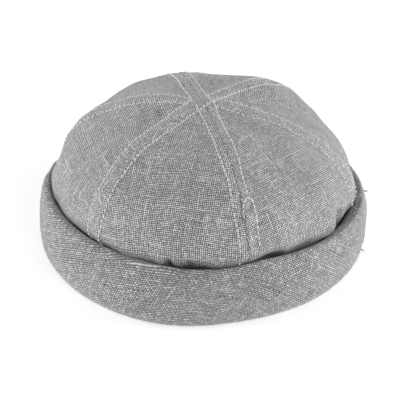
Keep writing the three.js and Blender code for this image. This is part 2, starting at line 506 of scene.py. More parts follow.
@dataclass(frozen=True)
class SlubLinen:
    """Plain-woven linen of uneven hand-spun yarns, pale and dark, washed and matt.

    Its look comes from the yarns: each has its own tone, pale or dark slubs swell along it, and the gaps
    between yarns are dark. Sizes are in millimetres.
    """

    name: str
    dark: str = "3c3c3c"
    middle: str = "b6b6b6"
    pale: str = "ffffff"
    # Linen of this weight has about 15 yarns to the centimetre both ways. They are drawn 1.7 times as
    # coarse, because finer rows would not show at 1.6 pixels a millimetre.
    warp_spacing: float = 1.16
    weft_spacing: float = 1.1
    weave_repeat: float = 2.0  # plain weave: over one yarn and under the next
    crowding: float = 0.45  # how unevenly the yarns are spaced, in yarns
    crowding_scale: float = 0.5
    yarn_shoulder: float = 0.42  # how far from its edge a yarn reaches its full height, in yarns
    yarn_stride: float = 3.17  # sets the random tones of neighbouring yarns apart
    lots: tuple[float, float] = (11.3, 47.9)  # set the warp's random tones apart from the weft's
    streak_length: float = 3.5
    streak_detail: float = 2.0
    streak_range: Stretch = (0.3, 0.7)
    slub_length: float = 26.0
    slub_detail: float = 0.5
    slub_rarity: tuple[float, float] = (0.69, 0.68)
    slub_edge: float = 0.05
    slub_lift: float = 0.3
    slub_drop: float = 0.3
    slub_swelling: float = 0.8
    wander: float = 2.6
    wander_scale: float = 0.03
    tremble: float = 0.35
    tremble_scale: float = 0.3
    yarn_relief: float = 0.2
    warp_gap: float = 0.15  # how much light is left in the gap between two warp yarns
    weft_gap: float = 0.1
    base_tone: float = 0.58
    warp_lift: float = 0.2  # the warp is spun from paler flax than the weft
    streak_contrast: float = 0.15
    fleck_contrast: float = 0.68
    fleck_rarity: float = 2.4  # a few crossings are much paler than the rest
    cloud_scale: float = 0.035
    cloud_detail: float = 3.0
    cloud_contrast: float = 0.12
    # How far the paling attribute moves the colour: paler on ridges, darker as painted shade of the crevice.
    paling_and_shade_contrast: float = 0.12
    fibre_ior: float = 1.53  # flax fibre, mostly cellulose
    roughness: float = 0.92
    specular: float = 0.25
    sheen: float = 0.3  # the halo of loose flax fibres at the edges
    sheen_roughness: float = 0.5

    def material(self) -> bpy.types.Material:
        """Makes the linen's material.

        Returns:
            A material whose weave follows the mesh's grain coordinates, in millimetres.
        """
        made, tree = new_material(self.name)
        grain = add_node(tree, "ShaderNodeUVMap", uv_map=GRAIN_UV).outputs["UV"]
        tone, height = self.weave(tree, self.wandering(tree, grain))
        colour = self.paled_and_shaded_colour(tree, tone, grain)
        relief = {"Height": height, "Distance": self.yarn_relief * MM, "Strength": 1.0}
        bump = add_node(tree, "ShaderNodeBump", relief)
        look = {
            "Base Color": colour,
            "Roughness": self.roughness,
            "IOR": self.fibre_ior,
            "Specular IOR Level": self.specular,
            "Sheen Weight": self.sheen,
            "Sheen Roughness": self.sheen_roughness,
            "Normal": bump.outputs["Normal"],
        }
        cloth = add_node(tree, "ShaderNodeBsdfPrincipled", look)
        add_node(tree, "ShaderNodeOutputMaterial", {"Surface": cloth.outputs["BSDF"]})
        return made

    def wandering(self, tree: bpy.types.NodeTree, grain: bpy.types.NodeSocket) -> bpy.types.NodeSocket:
        """Lets the yarns wander a little from their straight courses.

        Args:
            tree: the material's nodes.
            grain: the grain coordinates, in millimetres.

        Returns:
            The moved coordinates.
        """
        moved = grain
        noise_middle = (0.5, 0.5, 0.5)
        for scale, reach in ((self.wander_scale, self.wander), (self.tremble_scale, self.tremble)):
            size = {"Vector": grain, "Scale": scale, "Detail": 1.0}
            drift = add_node(tree, "ShaderNodeTexNoise", size, noise_dimensions="2D").outputs["Color"]
            centred = add_node(
                tree, "ShaderNodeVectorMath", {0: drift, 1: noise_middle}, operation="SUBTRACT"
            ).outputs["Vector"]
            step = {0: centred, 1: (reach, reach, 0.0), 2: moved}
            moved = add_node(tree, "ShaderNodeVectorMath", step, operation="MULTIPLY_ADD").outputs["Vector"]
        return moved

    def yarns(
        self,
        tree: bpy.types.NodeTree,
        across: bpy.types.NodeSocket,
        along: bpy.types.NodeSocket,
        spacing: float,
        lot: float,
        slub_start: float,
    ) -> dict[str, bpy.types.NodeSocket]:
        """Lays one set of parallel yarns.

        Args:
            tree: the material's nodes.
            across: millimetres across the yarns.
            along: millimetres along them.
            spacing: from yarn to yarn, in millimetres.
            lot: a number that sets this set's random tones apart from the other's.
            slub_start: how rare slubs are, as the noise level that starts one.

        Returns:
            The yarn's number, its round profile, its tone and how much of a pale or dark slub it is there.
        """
        pattern = {"W": across, "Scale": self.crowding_scale, "Detail": 1.0}
        crowd = add_node(tree, "ShaderNodeTexNoise", pattern, noise_dimensions="1D").outputs["Fac"]
        even = add_node(tree, "ShaderNodeMath", {0: across, 1: spacing}, operation="DIVIDE").outputs[0]
        place = add_node(
            tree, "ShaderNodeMath", {0: crowd, 1: self.crowding, 2: even}, operation="MULTIPLY_ADD"
        ).outputs[0]
        number = add_node(tree, "ShaderNodeMath", {0: place}, operation="FLOOR").outputs[0]
        ridge = add_node(tree, "ShaderNodeMath", {0: place, 1: 0.5}, operation="PINGPONG").outputs[0]
        rise = {"Value": ridge, "From Min": 0.0, "From Max": self.yarn_shoulder}
        profile = add_node(
            tree, "ShaderNodeMapRange", rise, interpolation_type="SMOOTHSTEP"
        ).outputs["Result"]
        row = add_node(
            tree, "ShaderNodeMath", {0: number, 1: self.yarn_stride, 2: lot}, operation="MULTIPLY_ADD"
        ).outputs[0]
        tones = []
        lengths = (self.streak_length, self.slub_length)
        for length, detail in zip(lengths, (self.streak_detail, self.slub_detail)):
            run = add_node(tree, "ShaderNodeMath", {0: along, 1: length}, operation="DIVIDE").outputs[0]
            spot = add_node(tree, "ShaderNodeCombineXYZ", {"X": row, "Y": run, "Z": length}).outputs[0]
            pattern = {"Vector": spot, "Scale": 1.0, "Detail": detail}
            tones.append(add_node(tree, "ShaderNodeTexNoise", pattern, noise_dimensions="3D").outputs["Fac"])
        slubs = []
        for start, step in ((slub_start, self.slub_edge), (1.0 - slub_start, -self.slub_edge)):
            swell = {"Value": tones[1], "From Min": start, "From Max": start + step}
            slub = add_node(tree, "ShaderNodeMapRange", swell, interpolation_type="SMOOTHSTEP")
            slubs.append(slub.outputs["Result"])
        return {"number": number, "profile": profile, "tone": tones[0], "pale": slubs[0], "dark": slubs[1]}

    def weave(
        self, tree: bpy.types.NodeTree, grain: bpy.types.NodeSocket
    ) -> tuple[bpy.types.NodeSocket, bpy.types.NodeSocket]:
        """Weaves the warp and weft over and under each other.

        Args:
            tree: the material's nodes.
            grain: the wandering grain coordinates, in millimetres.

        Returns:
            The tone of what shows, from 0 dark to 1 pale, and the height of the yarns from 0 to 1.
        """
        split = add_node(tree, "ShaderNodeSeparateXYZ", {0: grain})
        x, y = split.outputs["X"], split.outputs["Y"]
        warp = self.yarns(tree, x, y, self.warp_spacing, self.lots[0], self.slub_rarity[0])
        weft = self.yarns(tree, y, x, self.weft_spacing, self.lots[1], self.slub_rarity[1])
        crossing = add_node(
            tree, "ShaderNodeMath", {0: warp["number"], 1: weft["number"]}, operation="ADD"
        ).outputs[0]
        warp_over = add_node(
            tree, "ShaderNodeMath", {0: crossing, 1: self.weave_repeat}, operation="FLOORED_MODULO"
        ).outputs[0]
        shown: dict[str, bpy.types.NodeSocket] = {}
        for part in ("tone", "dark"):
            choice = {"Factor": warp_over, "A": weft[part], "B": warp[part]}
            shown[part] = add_node(tree, "ShaderNodeMix", choice, data_type="FLOAT").outputs["Result"]
        # A pale slub is so thick that it shows over the yarns that cross it.
        slubs = [
            add_node(
                tree, "ShaderNodeMath", {0: yarn["pale"], 1: yarn["profile"]}, operation="MULTIPLY"
            ).outputs[0]
            for yarn in (warp, weft)
        ]
        shown["pale"] = add_node(
            tree, "ShaderNodeMath", {0: slubs[0], 1: slubs[1]}, operation="MAXIMUM"
        ).outputs[0]
        # Each yarn shows most where it crosses over the other, so both profiles shape the height.
        rounds = []
        for yarn, gap in ((warp, self.warp_gap), (weft, self.weft_gap)):
            part = add_node(tree, "ShaderNodeMapRange", {"Value": yarn["profile"], "To Min": gap})
            rounds.append(part.outputs["Result"])
        height = add_node(
            tree, "ShaderNodeMath", {0: rounds[0], 1: rounds[1]}, operation="MULTIPLY"
        ).outputs[0]
        cell = add_node(
            tree, "ShaderNodeCombineXYZ", {"X": warp["number"], "Y": weft["number"]}
        ).outputs[0]
        fleck = add_node(
            tree, "ShaderNodeTexWhiteNoise", {"Vector": cell}, noise_dimensions="2D"
        ).outputs["Value"]
        fleck = add_node(
            tree, "ShaderNodeMath", {0: fleck, 1: self.fleck_rarity}, operation="POWER"
        ).outputs[0]
        tone = self.mixed_tone(tree, shown, fleck, height, warp_over)
        swelling = {0: shown["pale"], 1: self.slub_swelling, 2: height}
        swollen = add_node(tree, "ShaderNodeMath", swelling, operation="MULTIPLY_ADD").outputs[0]
        return tone, swollen

    def mixed_tone(
        self,
        tree: bpy.types.NodeTree,
        shown: dict[str, bpy.types.NodeSocket],
        fleck: bpy.types.NodeSocket,
        height: bpy.types.NodeSocket,
        warp_over: bpy.types.NodeSocket,
    ) -> bpy.types.NodeSocket:
        """Adds up what makes a spot of the cloth pale or dark.

        Args:
            tree: the material's nodes.
            shown: the tone and slubs of the yarn on top.
            fleck: a random number for each crossing.
            height: the yarns' height, low in the gaps between them.
            warp_over: 1 where the warp is on top, and 0 where the weft is.

        Returns:
            The tone, from 0 dark to 1 pale.
        """
        levels = {
            "Value": shown["tone"],
            "From Min": self.streak_range[0],
            "From Max": self.streak_range[1],
            "To Min": self.base_tone,
            "To Max": self.base_tone + self.streak_contrast,
        }
        tone = add_node(tree, "ShaderNodeMapRange", levels).outputs["Result"]
        for part, share in (
            (warp_over, self.warp_lift),
            (fleck, self.fleck_contrast),
            (shown["dark"], -self.slub_drop),
        ):
            tone = add_node(
                tree, "ShaderNodeMath", {0: part, 1: share, 2: tone}, operation="MULTIPLY_ADD"
            ).outputs[0]
        shaded = add_node(tree, "ShaderNodeMath", {0: tone, 1: height}, operation="MULTIPLY").outputs[0]
        return add_node(
            tree,
            "ShaderNodeMath",
            {0: shown["pale"], 1: self.slub_lift, 2: shaded},
            operation="MULTIPLY_ADD",
            use_clamp=True,
        ).outputs[0]

    def paled_and_shaded_colour(
        self, tree: bpy.types.NodeTree, tone: bpy.types.NodeSocket, grain: bpy.types.NodeSocket
    ) -> bpy.types.NodeSocket:
        """Turns the weave's tone into colour, uneven from the dye bath, and paler or darker by a mesh
        attribute.

        Where the attribute is above 0 the colour is paler, and where it is below 0 it is darker, as painted
        shade.

        Args:
            tree: the material's nodes.
            tone: the weave's tone, from 0 dark to 1 pale.
            grain: the grain coordinates, in millimetres.

        Returns:
            The cloth's colour.
        """
        ramp = add_node(tree, "ShaderNodeValToRGB", {"Fac": tone})
        ramp.color_ramp.elements[0].color = linear_colour(self.dark)
        ramp.color_ramp.elements[1].color = linear_colour(self.pale)
        ramp.color_ramp.elements.new(0.5).color = linear_colour(self.middle)
        pattern = {"Vector": grain, "Scale": self.cloud_scale, "Detail": self.cloud_detail}
        clouds = add_node(tree, "ShaderNodeTexNoise", pattern, noise_dimensions="2D").outputs["Fac"]
        # Above 0 this pales the colour; below 0 it darkens it, as painted shade of the crevice.
        paling_and_shade_level = add_node(tree, "ShaderNodeAttribute", attribute_name=PALING_AND_SHADE).outputs["Fac"]
        levels = {"Value": clouds, "To Min": 1.0 - self.cloud_contrast, "To Max": 1.0 + self.cloud_contrast}
        dye_and_shade = add_node(tree, "ShaderNodeMapRange", levels).outputs["Result"]
        gain = add_node(
            tree, "ShaderNodeMath", {0: paling_and_shade_level, 1: self.paling_and_shade_contrast, 2: dye_and_shade}, operation="MULTIPLY_ADD"
        ).outputs[0]
        paled_and_shaded = {0: ramp.outputs["Color"], "Scale": gain}
        return add_node(tree, "ShaderNodeVectorMath", paled_and_shaded, operation="SCALE").outputs["Vector"]


@dataclass(frozen=True)
class SewingThread:
    """Spun polyester topstitching thread, two-ply and twisted, with a faint lustre on its plies."""

    name: str = "spun_polyester_thread"
    ply: str = "fafafa"
    # The furrows between the plies are painted darker, as painted shade.
    furrow: str = "d0d0d0"
    twist_length: float = 0.7  # a ply turns round every 0.35 mm, drawn twice as coarse so that it shows
    fibre_ior: float = 1.57  # polyester
    roughness: float = 0.7
    ply_shoulder: float = 0.4
    twist_relief: float = 0.08

    def material(self) -> bpy.types.Material:
        """Makes the thread's material.

        Returns:
            A material whose twist follows the grain coordinates: round the thread, and along it in
            millimetres.
        """
        made, tree = new_material(self.name)
        grain = add_node(tree, "ShaderNodeUVMap", uv_map=GRAIN_UV).outputs["UV"]
        split = add_node(tree, "ShaderNodeSeparateXYZ", {0: grain})
        winding = {0: split.outputs["Y"], 1: 1.0 / self.twist_length, 2: split.outputs["X"]}
        along = add_node(tree, "ShaderNodeMath", winding, operation="MULTIPLY_ADD").outputs[0]
        ridge = add_node(tree, "ShaderNodeMath", {0: along, 1: 0.5}, operation="PINGPONG").outputs[0]
        rise = {"Value": ridge, "From Max": self.ply_shoulder}
        height = add_node(tree, "ShaderNodeMapRange", rise).outputs["Result"]
        ramp = add_node(tree, "ShaderNodeValToRGB", {"Fac": height})
        ramp.color_ramp.elements[0].color = linear_colour(self.furrow)
        ramp.color_ramp.elements[1].color = linear_colour(self.ply)
        bump = add_node(tree, "ShaderNodeBump", {"Height": height, "Distance": self.twist_relief * MM})
        look = {
            "Base Color": ramp.outputs["Color"],
            "Roughness": self.roughness,
            "IOR": self.fibre_ior,
            "Normal": bump.outputs["Normal"],
        }
        thread = add_node(tree, "ShaderNodeBsdfPrincipled", look)
        add_node(tree, "ShaderNodeOutputMaterial", {"Surface": thread.outputs["BSDF"]})
        return made


def make_piece(
    name: str,
    points: np.ndarray,
    faces: Faces,
    grain: np.ndarray,
    material: bpy.types.Material,
    paling_and_shade: np.ndarray | None = None,
) -> bpy.types.Object:
    """Makes a smooth-shaded mesh piece.

    Args:
        name: the piece's name.
        points: its vertices, in millimetres.
        faces: vertex numbers of each face, facing out.
        grain: grain coordinates in millimetres, one pair for each corner of each face in turn.
        material: its finish.
        paling_and_shade: how much paler each vertex is drawn, 1 on a seam's ridge; below 0 is painted shade.

    Returns:
        The new object, in the scene.
    """
    mesh = bpy.data.meshes.new(name)
    mesh.from_pydata((points * MM).tolist(), [], faces)
    layer = mesh.uv_layers.new(name=GRAIN_UV)
    layer.data.foreach_set("uv", np.asarray(grain, np.float32).ravel())
    if paling_and_shade is not None:
        attribute = mesh.attributes.new(PALING_AND_SHADE, "FLOAT", "POINT")
        attribute.data.foreach_set("value", np.asarray(paling_and_shade, np.float32).ravel())
    mesh.polygons.foreach_set("use_smooth", np.ones(len(mesh.polygons), bool))
    mesh.materials.append(material)
    mesh.update()
    return add_object(name, mesh)


@dataclass
class ThreadBundle:
    """Threads that are gathered into one piece."""

    vertices: list[np.ndarray] = field(default_factory=list)
    faces: Faces = field(default_factory=list)
    grain: list[np.ndarray] = field(default_factory=list)
    count: int = 0

    def add(self, path: np.ndarray, outward: np.ndarray, radius: np.ndarray | float, sides: int) -> None:
        """Adds one thread, a closed round tube.

        Args:
            path: its middle line, one point for each ring.
            outward: the direction from which each ring is turned, or one direction for all.
            radius: of each ring, or one radius for all.
            sides: how many corners a ring has.
        """
        tangent = unit(np.gradient(path, axis=0))
        across = unit(np.cross(tangent, outward))
        upward = np.cross(across, tangent)
        angle = np.arange(sides) * 2.0 * math.pi / sides
        ring = np.cos(angle)[:, None] * across[:, None] + np.sin(angle)[:, None] * upward[:, None]
        tube = path[:, None] + ring * np.reshape(radius, (-1, 1, 1))
        place = np.arange(len(path) * sides).reshape(len(path), sides) + self.count
        after = np.roll(place, -1, axis=1)
        self.faces += quad_faces(place[:-1], place[1:], after[1:], after[:-1])
        self.faces += [tuple(place[0].tolist()), tuple(place[-1][::-1].tolist())]
        self.vertices.append(tube.reshape(-1, 3))
        self.count += place.size

    def piece(self, name: str, material: bpy.types.Material) -> bpy.types.Object:
        """Makes the threads into a piece of that name and finish."""
        grain = at_corners(np.concatenate(self.grain), self.faces)
        return make_piece(name, np.concatenate(self.vertices), self.faces, grain, material)


@dataclass(frozen=True)
class SeamSizes:
    """How a felled and topstitched seam shapes the cloth beside it, in millimetres."""

    stitch_offset: float = 5.0
    fall_length: float = 1.6  # the cloth's length for one degree of fall
    calm_middle: Stretch = (6.0, 14.0)  # nearer the crown's axis the stitch lines and puckers fade out
    band_height: float = 0.5
    band_fade: Stretch = (4.4, 6.3)
    # The joins are pulled most open at the front seam and the two back ones, in the order of the seams.
    groove_depths: tuple[float, ...] = (0.6, 0.2, 0.35, 0.45, 0.25, 0.15)
    groove_width: float = 0.7
    dip_depth: float = 0.32
    dip_width: float = 0.8
    puckers: tuple[Ripples, ...] = (Ripples(7.5, 0.2, 31), Ripples(3.375, 0.11, 32))
    pucker_middle: float = 3.0
    pucker_reach: float = 5.0
    pucker_lot: float = 60.0  # sets the puckers of one seam apart from the next seam's
    pucker_slant: float = 0.35
    middle_lump: float = 0.3
    middle_radius: float = 7.0
    middle_pit: float = 1.0
    pit_radius: float = 1.4
    # Low on the front seam a loose strip of its allowance lies folded on the right of the join.
    strip_height: float = 0.6
    strip_rise: Stretch = (0.5, 1.5)
    strip_fade: Stretch = (7.1, 7.9)
    strip_top: Stretch = (52.8, 54.0)
    strip_bottom: Stretch = (76.0, 82.0)
    strip_pucker: Ripples = Ripples(2.9, 0.22, 33)
    # On the inside the seam's two allowances are pressed open, with a groove between them.
    allowance_height: float = 0.5
    allowance_fade: Stretch = (6.5, 8.0)
    inside_groove: float = 0.7
    inside_groove_width: float = 1.2
    # The seam's raised edge, where the cloth is drawn paler.
    ridge_offset: float = 2.2
    ridge_width: float = 2.2


@dataclass(frozen=True)
class Crown:
    """The crown: six gores of linen, seamed, pressed and topstitched, soft and a little slack."""

    form: CapForm
    seam: SeamSizes
    rows: int = 148
    skirt_rows: int = 8
    columns: int = 116
    edge_crowding: float = 0.45
    seam_half_gap: float = 0.03
    tip_fall: float = 0.1
    under_pull: float = 1.5
    deepest_turn: float = 0.85  # how far the crown turns in under the edge, as a share of the radius
    under_reach: float = 3.0
    turned_heights: Stretch = (17.0, 31.0)
    shade_depths: Stretch = (-8.0, 0.6)  # where the painted shade of the crevice sets in, from its edge down
    covered_height: float = 40.0  # the cuff covers the crown below this, and nothing may stand out there
    covered_relief: float = 0.15
    inside_heights: Stretch = (12.0, 20.0)
    lump_heights: Stretch = (30.0, 44.0)
    puckering_calm: float = 0.5
    puckering_tight: float = 2.4
    tight_offset: float = 2.0
    tight_width: float = 9.0
    tight_falls: Stretch = (42.0, 62.0)
    lumps: tuple[Ripples, ...] = (
        Ripples(46.0, 0.5, 11),
        Ripples(19.0, 0.17, 12),
        Ripples(8.0, 0.05, 13),
    )
    gathers: Ripples = Ripples(11.0, 0.3, 21)
    gather_azimuth: float = -70.0
    gather_width: float = 48.0
    gather_calm: float = 0.45
    gather_front: float = 1.1
    gather_rise: Stretch = (26.0, 36.0)
    gather_fade: Stretch = (40.0, 57.0)
    gather_radius: float = 93.0
    gather_squeeze: float = 0.16  # the gathers run upright, so their pattern changes slowly with height
    trial_points: int = 1500
    widest_margin: float = 0.5
    lot_distance: float = 400.0  # sets the weave of one gore apart from the next one's
    bow_share: float = 0.5
    # Where the soft crown sinks in, swells out or is tucked in by the cuff's edge, finer than the solid.
    folds: tuple[Dent, ...] = (
        Dent(148, 63, 9, 6, 2.2),
        Dent(161, 74, 17, 5.5, 4.2),
        Dent(155, 66, 14, 9, 2.9),
        Dent(103, 47, 9, 16, 1.0),
        Dent(14, 62, 16, 18, 1.1),
        Dent(131, 49, 8, 7, -1.0),
        Dent(78, 40, 11, 12, -1.2),
        Dent(39, 57, 8, 8, 1.0),
        Dent(200, 15, 7, 1.4, 1.3),
        Dent(-102.5, 86, 1.2, 3.0, 3.4),
        Dent(-95.5, 86, 2.4, 3.4, 3.4),
        Dent(-64.5, 86.5, 5.5, 3.2, 3.2),
        Dent(-50, 87, 4.5, 3.0, 2.4),
        Dent(-30.5, 86, 2.0, 5.0, 6.0),
        Dent(-27, 82, 2.2, 5.0, 3.4),
        Dent(-36.5, 86, 3.0, 4.0, -1.2),
        Dent(-79, 4.5, 14, 1.0, 0.8),
    )

    def seam_distances(
        self, azimuth: np.ndarray, fall: np.ndarray
    ) -> tuple[np.ndarray, np.ndarray, np.ndarray]:
        """How far a spot lies from the seams on its two sides.

        Args:
            azimuth: the azimuths.
            fall: the falls.

        Returns:
            The distance to the seam clockwise from it, to the next seam, and from the crown's axis.
        """
        radius = axis_distance(self.form.crown_point(azimuth, fall))
        past = np.mod(azimuth - Seam.FRONT.value, self.form.gore_angle)
        before = radius * np.sin(np.radians(past))
        after = radius * np.sin(np.radians(self.form.gore_angle - past))
        return before, after, radius

    def puckering(self, azimuth: np.ndarray, fall: np.ndarray) -> np.ndarray:
        """How strongly each seam is puckered: most low on the front seam, where the stitching is tight.

        Args:
            azimuth: the azimuths, in degrees.
            fall: the falls, in degrees, and in millimetres past 90.

        Returns:
            The strength, about 1 for a seam of usual tightness.
        """
        turn = turn_between(azimuth, Seam.FRONT.value)
        tight = bell(turn - self.tight_offset, self.tight_width) * smooth_share(fall, *self.tight_falls)
        return self.puckering_calm + self.puckering_tight * tight

    def strip_share(self, azimuth: np.ndarray, fall: np.ndarray) -> np.ndarray:
        """Where the loose strip lies beside the front seam, from 0 to 1.

        Args:
            azimuth: the azimuths, in degrees.
            fall: the falls, in degrees, and in millimetres past 90.

        Returns:
            The share at each spot.
        """
        turn = turn_between(azimuth, Seam.FRONT.value)
        offset = self.seam_distances(azimuth, fall)[2] * np.sin(np.radians(turn))
        across = smooth_window(offset, self.seam.strip_rise, self.seam.strip_fade)
        down = smooth_window(fall, self.seam.strip_top, self.seam.strip_bottom)
        return across * down * (np.abs(turn) < QUARTER_TURN)

    def seam_relief(self, azimuth: np.ndarray, fall: np.ndarray) -> np.ndarray:
        """The raised band of each seam, its groove, its stitch lines and its puckers.

        Args:
            azimuth: the azimuths.
            fall: the falls.

        Returns:
            The height over the smooth crown, in millimetres.
        """
        sizes = self.seam
        before, after, radius = self.seam_distances(azimuth, fall)
        seam_number = np.floor((azimuth - Seam.FRONT.value) / self.form.gore_angle)
        along = fall * sizes.fall_length
        open_crown = smooth_share(radius, *sizes.calm_middle)
        strength = self.puckering(azimuth, fall)
        band = np.zeros(radius.shape)
        cut = np.zeros(radius.shape)
        wave = np.zeros(radius.shape)
        for side, distance in ((0.0, before), (1.0, after)):
            raised = sizes.band_height * (1.0 - smooth_share(distance, *sizes.band_fade))
            band = np.maximum(band, raised)
            which = np.mod(seam_number + side, len(sizes.groove_depths)).astype(int)
            cut = cut - np.array(sizes.groove_depths)[which] * bell(distance, sizes.groove_width)
            dip = sizes.dip_depth * bell(distance - sizes.stitch_offset, sizes.dip_width)
            cut = cut - dip * open_crown
            lot = sizes.pucker_lot * (seam_number + side)
            slant = distance * sizes.pucker_slant * (1.0 - 2.0 * side)
            place = np.stack([along, lot, slant], axis=-1)
            puckers = sum(ripples.at(place) for ripples in sizes.puckers)
            wave = wave + puckers * bell(distance - sizes.pucker_middle, sizes.pucker_reach)
        middle = sizes.middle_lump * bell(radius, sizes.middle_radius)
        middle = middle - sizes.middle_pit * bell(radius, sizes.pit_radius)
        strip = self.strip_share(azimuth, fall)
        loose = strip * (sizes.strip_height + sizes.strip_pucker.at(self.form.crown_point(azimuth, fall)))
        return band + cut + wave * strength * open_crown + middle + loose

    def edge_pull_depth(self, azimuth: np.ndarray, height: np.ndarray) -> np.ndarray:
        """How far the crown turns in at the cuff's edge, and is drawn in under it.

        Args:
            azimuth: the azimuths, in degrees.
            height: the heights above the surface, in millimetres.

        Returns:
            The depth in millimetres.
        """
        top = self.form.edge_top(azimuth)
        radius = self.form.edge_radius(azimuth)
        start = radius * math.sin(math.radians(self.form.crevice_angle)) - self.form.crevice_drop
        drop = np.clip(top + start - height, 0.0, self.deepest_turn * radius)
        arc = radius - np.sqrt(radius**2 - drop**2)
        below = top - self.form.crevice_drop - height
        under = self.under_pull * smooth_share(below, 0.0, self.under_reach)
        return (arc + under) * smooth_share(height, *self.turned_heights)

    def gather_height(self, azimuth: np.ndarray, height: np.ndarray) -> np.ndarray:
        """The small upright gathers that rise from the cuff's edge, strongest in front.

        Args:
            azimuth: the azimuths, in degrees.
            height: the heights above the surface, in millimetres.

        Returns:
            Their height over the cloth, in millimetres.
        """
        front = bell(turn_between(azimuth, self.gather_azimuth), self.gather_width)
        strength = self.gather_calm + self.gather_front * front
        around = np.radians(azimuth) * self.gather_radius
        place = np.stack([around, height * self.gather_squeeze, np.zeros(height.shape)], axis=-1)
        return self.gathers.at(place) * strength * smooth_window(height, self.gather_rise, self.gather_fade)

    def large_relief(self, azimuth: np.ndarray, fall: np.ndarray, smooth: np.ndarray) -> np.ndarray:
        """Dents, lumps, gathers and the pull of the cuff's edge, which both faces of the cloth follow.

        Args:
            azimuth: the azimuths, in degrees.
            fall: the falls, in degrees, and in millimetres past 90.
            smooth: the points of the smooth crown there.

        Returns:
            The height over it, in millimetres.
        """
        lumps = sum(ripples.at(smooth) for ripples in self.lumps)
        folds = dent_depth(self.folds, azimuth, fall)
        height = smooth[..., 2]
        return (
            lumps * smooth_share(height, *self.lump_heights)
            + self.gather_height(azimuth, height)
            - dent_depth(self.form.dents, azimuth, fall)
            - folds
            - self.edge_pull_depth(azimuth, height)
        )

    def outer(self, azimuth: np.ndarray, fall: np.ndarray) -> np.ndarray:
        """Points of the crown's outer face, in the frame's millimetres.

        Args:
            azimuth: the azimuths, in degrees.
            fall: the falls, in degrees, and in millimetres past 90.

        Returns:
            The points.
        """
        azimuth, fall = np.broadcast_arrays(np.asarray(azimuth, float), np.asarray(fall, float))
        smooth = self.form.crown_point(azimuth, fall)
        relief = self.large_relief(azimuth, fall, smooth) + self.seam_relief(azimuth, fall)
        covered = smooth[..., 2] < self.covered_height
        relief = np.where(covered, np.minimum(relief, self.covered_relief), relief)
        return smooth + self.form.crown_normal(azimuth, fall) * relief[..., None] + self.form.shift()

    def inner(self, azimuth: np.ndarray, fall: np.ndarray) -> np.ndarray:
        """Points of the crown's inner face, with the seam allowances pressed open on it.

        Args:
            azimuth: the azimuths, in degrees.
            fall: the falls, in degrees, and in millimetres past 90.

        Returns:
            The points, in the frame's millimetres.
        """
        azimuth, fall = np.broadcast_arrays(np.asarray(azimuth, float), np.asarray(fall, float))
        smooth = self.form.crown_point(azimuth, fall)
        before, after, _radius = self.seam_distances(azimuth, fall)
        near = np.minimum(before, after)
        allowance = self.seam.allowance_height * (1.0 - smooth_share(near, *self.seam.allowance_fade))
        allowance = allowance - self.seam.inside_groove * bell(near, self.seam.inside_groove_width)
        inset = self.form.crown_wall + allowance * smooth_share(smooth[..., 2], *self.inside_heights)
        relief = self.large_relief(azimuth, fall, smooth) - inset
        return smooth + self.form.crown_normal(azimuth, fall) * relief[..., None] + self.form.shift()

    def row_falls(self) -> np.ndarray:
        """The falls of a gore's rows, evenly spaced by length down the dome, and then down its edge.

        Returns:
            The falls, from the middle of the crown down.
        """
        trial = np.linspace(self.tip_fall, QUARTER_TURN, self.trial_points)
        length = running_length(self.form.crown_point(np.full(trial.shape, Seam.FRONT.value), trial))
        dome = np.interp(np.linspace(0.0, length[-1], self.rows + 1), length, trial)
        edge_height = self.form.equator_height - self.form.crown_edge_height
        edge = QUARTER_TURN + np.linspace(0.0, edge_height, self.skirt_rows + 1)
        return np.concatenate([dome, edge[1:]])

    def column_azimuths(self, start: float, fall: np.ndarray) -> np.ndarray:
        """The azimuths of a gore's columns on each row, closer together beside the seams.

        Args:
            start: the azimuth of the gore's first seam.
            fall: the fall of each row.

        Returns:
            An azimuth for each row and column.
        """
        share = np.linspace(0.0, 1.0, self.columns + 1)
        share = share - self.edge_crowding * np.sin(2.0 * math.pi * share) / (2.0 * math.pi)
        middle = np.full(fall.shape, start + self.form.gore_angle / 2.0)
        radius = axis_distance(self.form.crown_point(middle, fall))
        sine = np.minimum(self.seam_half_gap / radius, self.widest_margin)
        margin = np.degrees(np.arcsin(sine))[:, None]
        return start + margin + (self.form.gore_angle - 2.0 * margin) * share

    def gore_grain(self, start: float, azimuth: np.ndarray, fall: np.ndarray) -> np.ndarray:
        """Grain coordinates of a gore, whose warp runs up the middle of the piece.

        Args:
            start: the azimuth of the gore's first seam.
            azimuth: the azimuth of each vertex.
            fall: the fall of each vertex.

        Returns:
            Millimetres across and along the warp, set apart from gore to gore.
        """
        middle = start + self.form.gore_angle / 2.0
        radius = axis_distance(self.form.crown_point(azimuth, fall))
        line = self.form.crown_point(np.full(fall.shape[0], middle), fall[:, 0])
        turn = np.radians(azimuth - middle)
        lot = self.lot_distance * math.floor((start - Seam.FRONT.value) / self.form.gore_angle)
        bow = radius * (1.0 - np.cos(turn)) * self.bow_share
        return np.stack([turn * radius + lot, bow - running_length(line)[:, None]], axis=-1)

    def gore_faces(self, out: np.ndarray, back: np.ndarray) -> Faces:
        """The faces of a gore, closed round its four edges.

        Args:
            out: the outer face's vertex numbers, by row and column.
            back: the inner face's, for every second row and column.

        Returns:
            The faces, facing out.
        """
        faces = quad_faces(out[:-1, :-1], out[1:, :-1], out[1:, 1:], out[:-1, 1:])
        faces += quad_faces(back[:-1, :-1], back[:-1, 1:], back[1:, 1:], back[1:, :-1])
        for row in range(back.shape[0] - 1):
            low, high = 2 * row, 2 * row + 2
            faces.append((out[low, 0], back[row, 0], back[row + 1, 0], out[high, 0], out[low + 1, 0]))
            faces.append((out[low, -1], out[low + 1, -1], out[high, -1], back[row + 1, -1], back[row, -1]))
        for column in range(back.shape[1] - 1):
            low, high, after = 2 * column, 2 * column + 2, column + 1
            faces.append((out[0, low], out[0, low + 1], out[0, high], back[0, after], back[0, column]))
            faces.append((out[-1, low], back[-1, column], back[-1, after], out[-1, high], out[-1, low + 1]))
        return [tuple(int(corner) for corner in face) for face in faces]

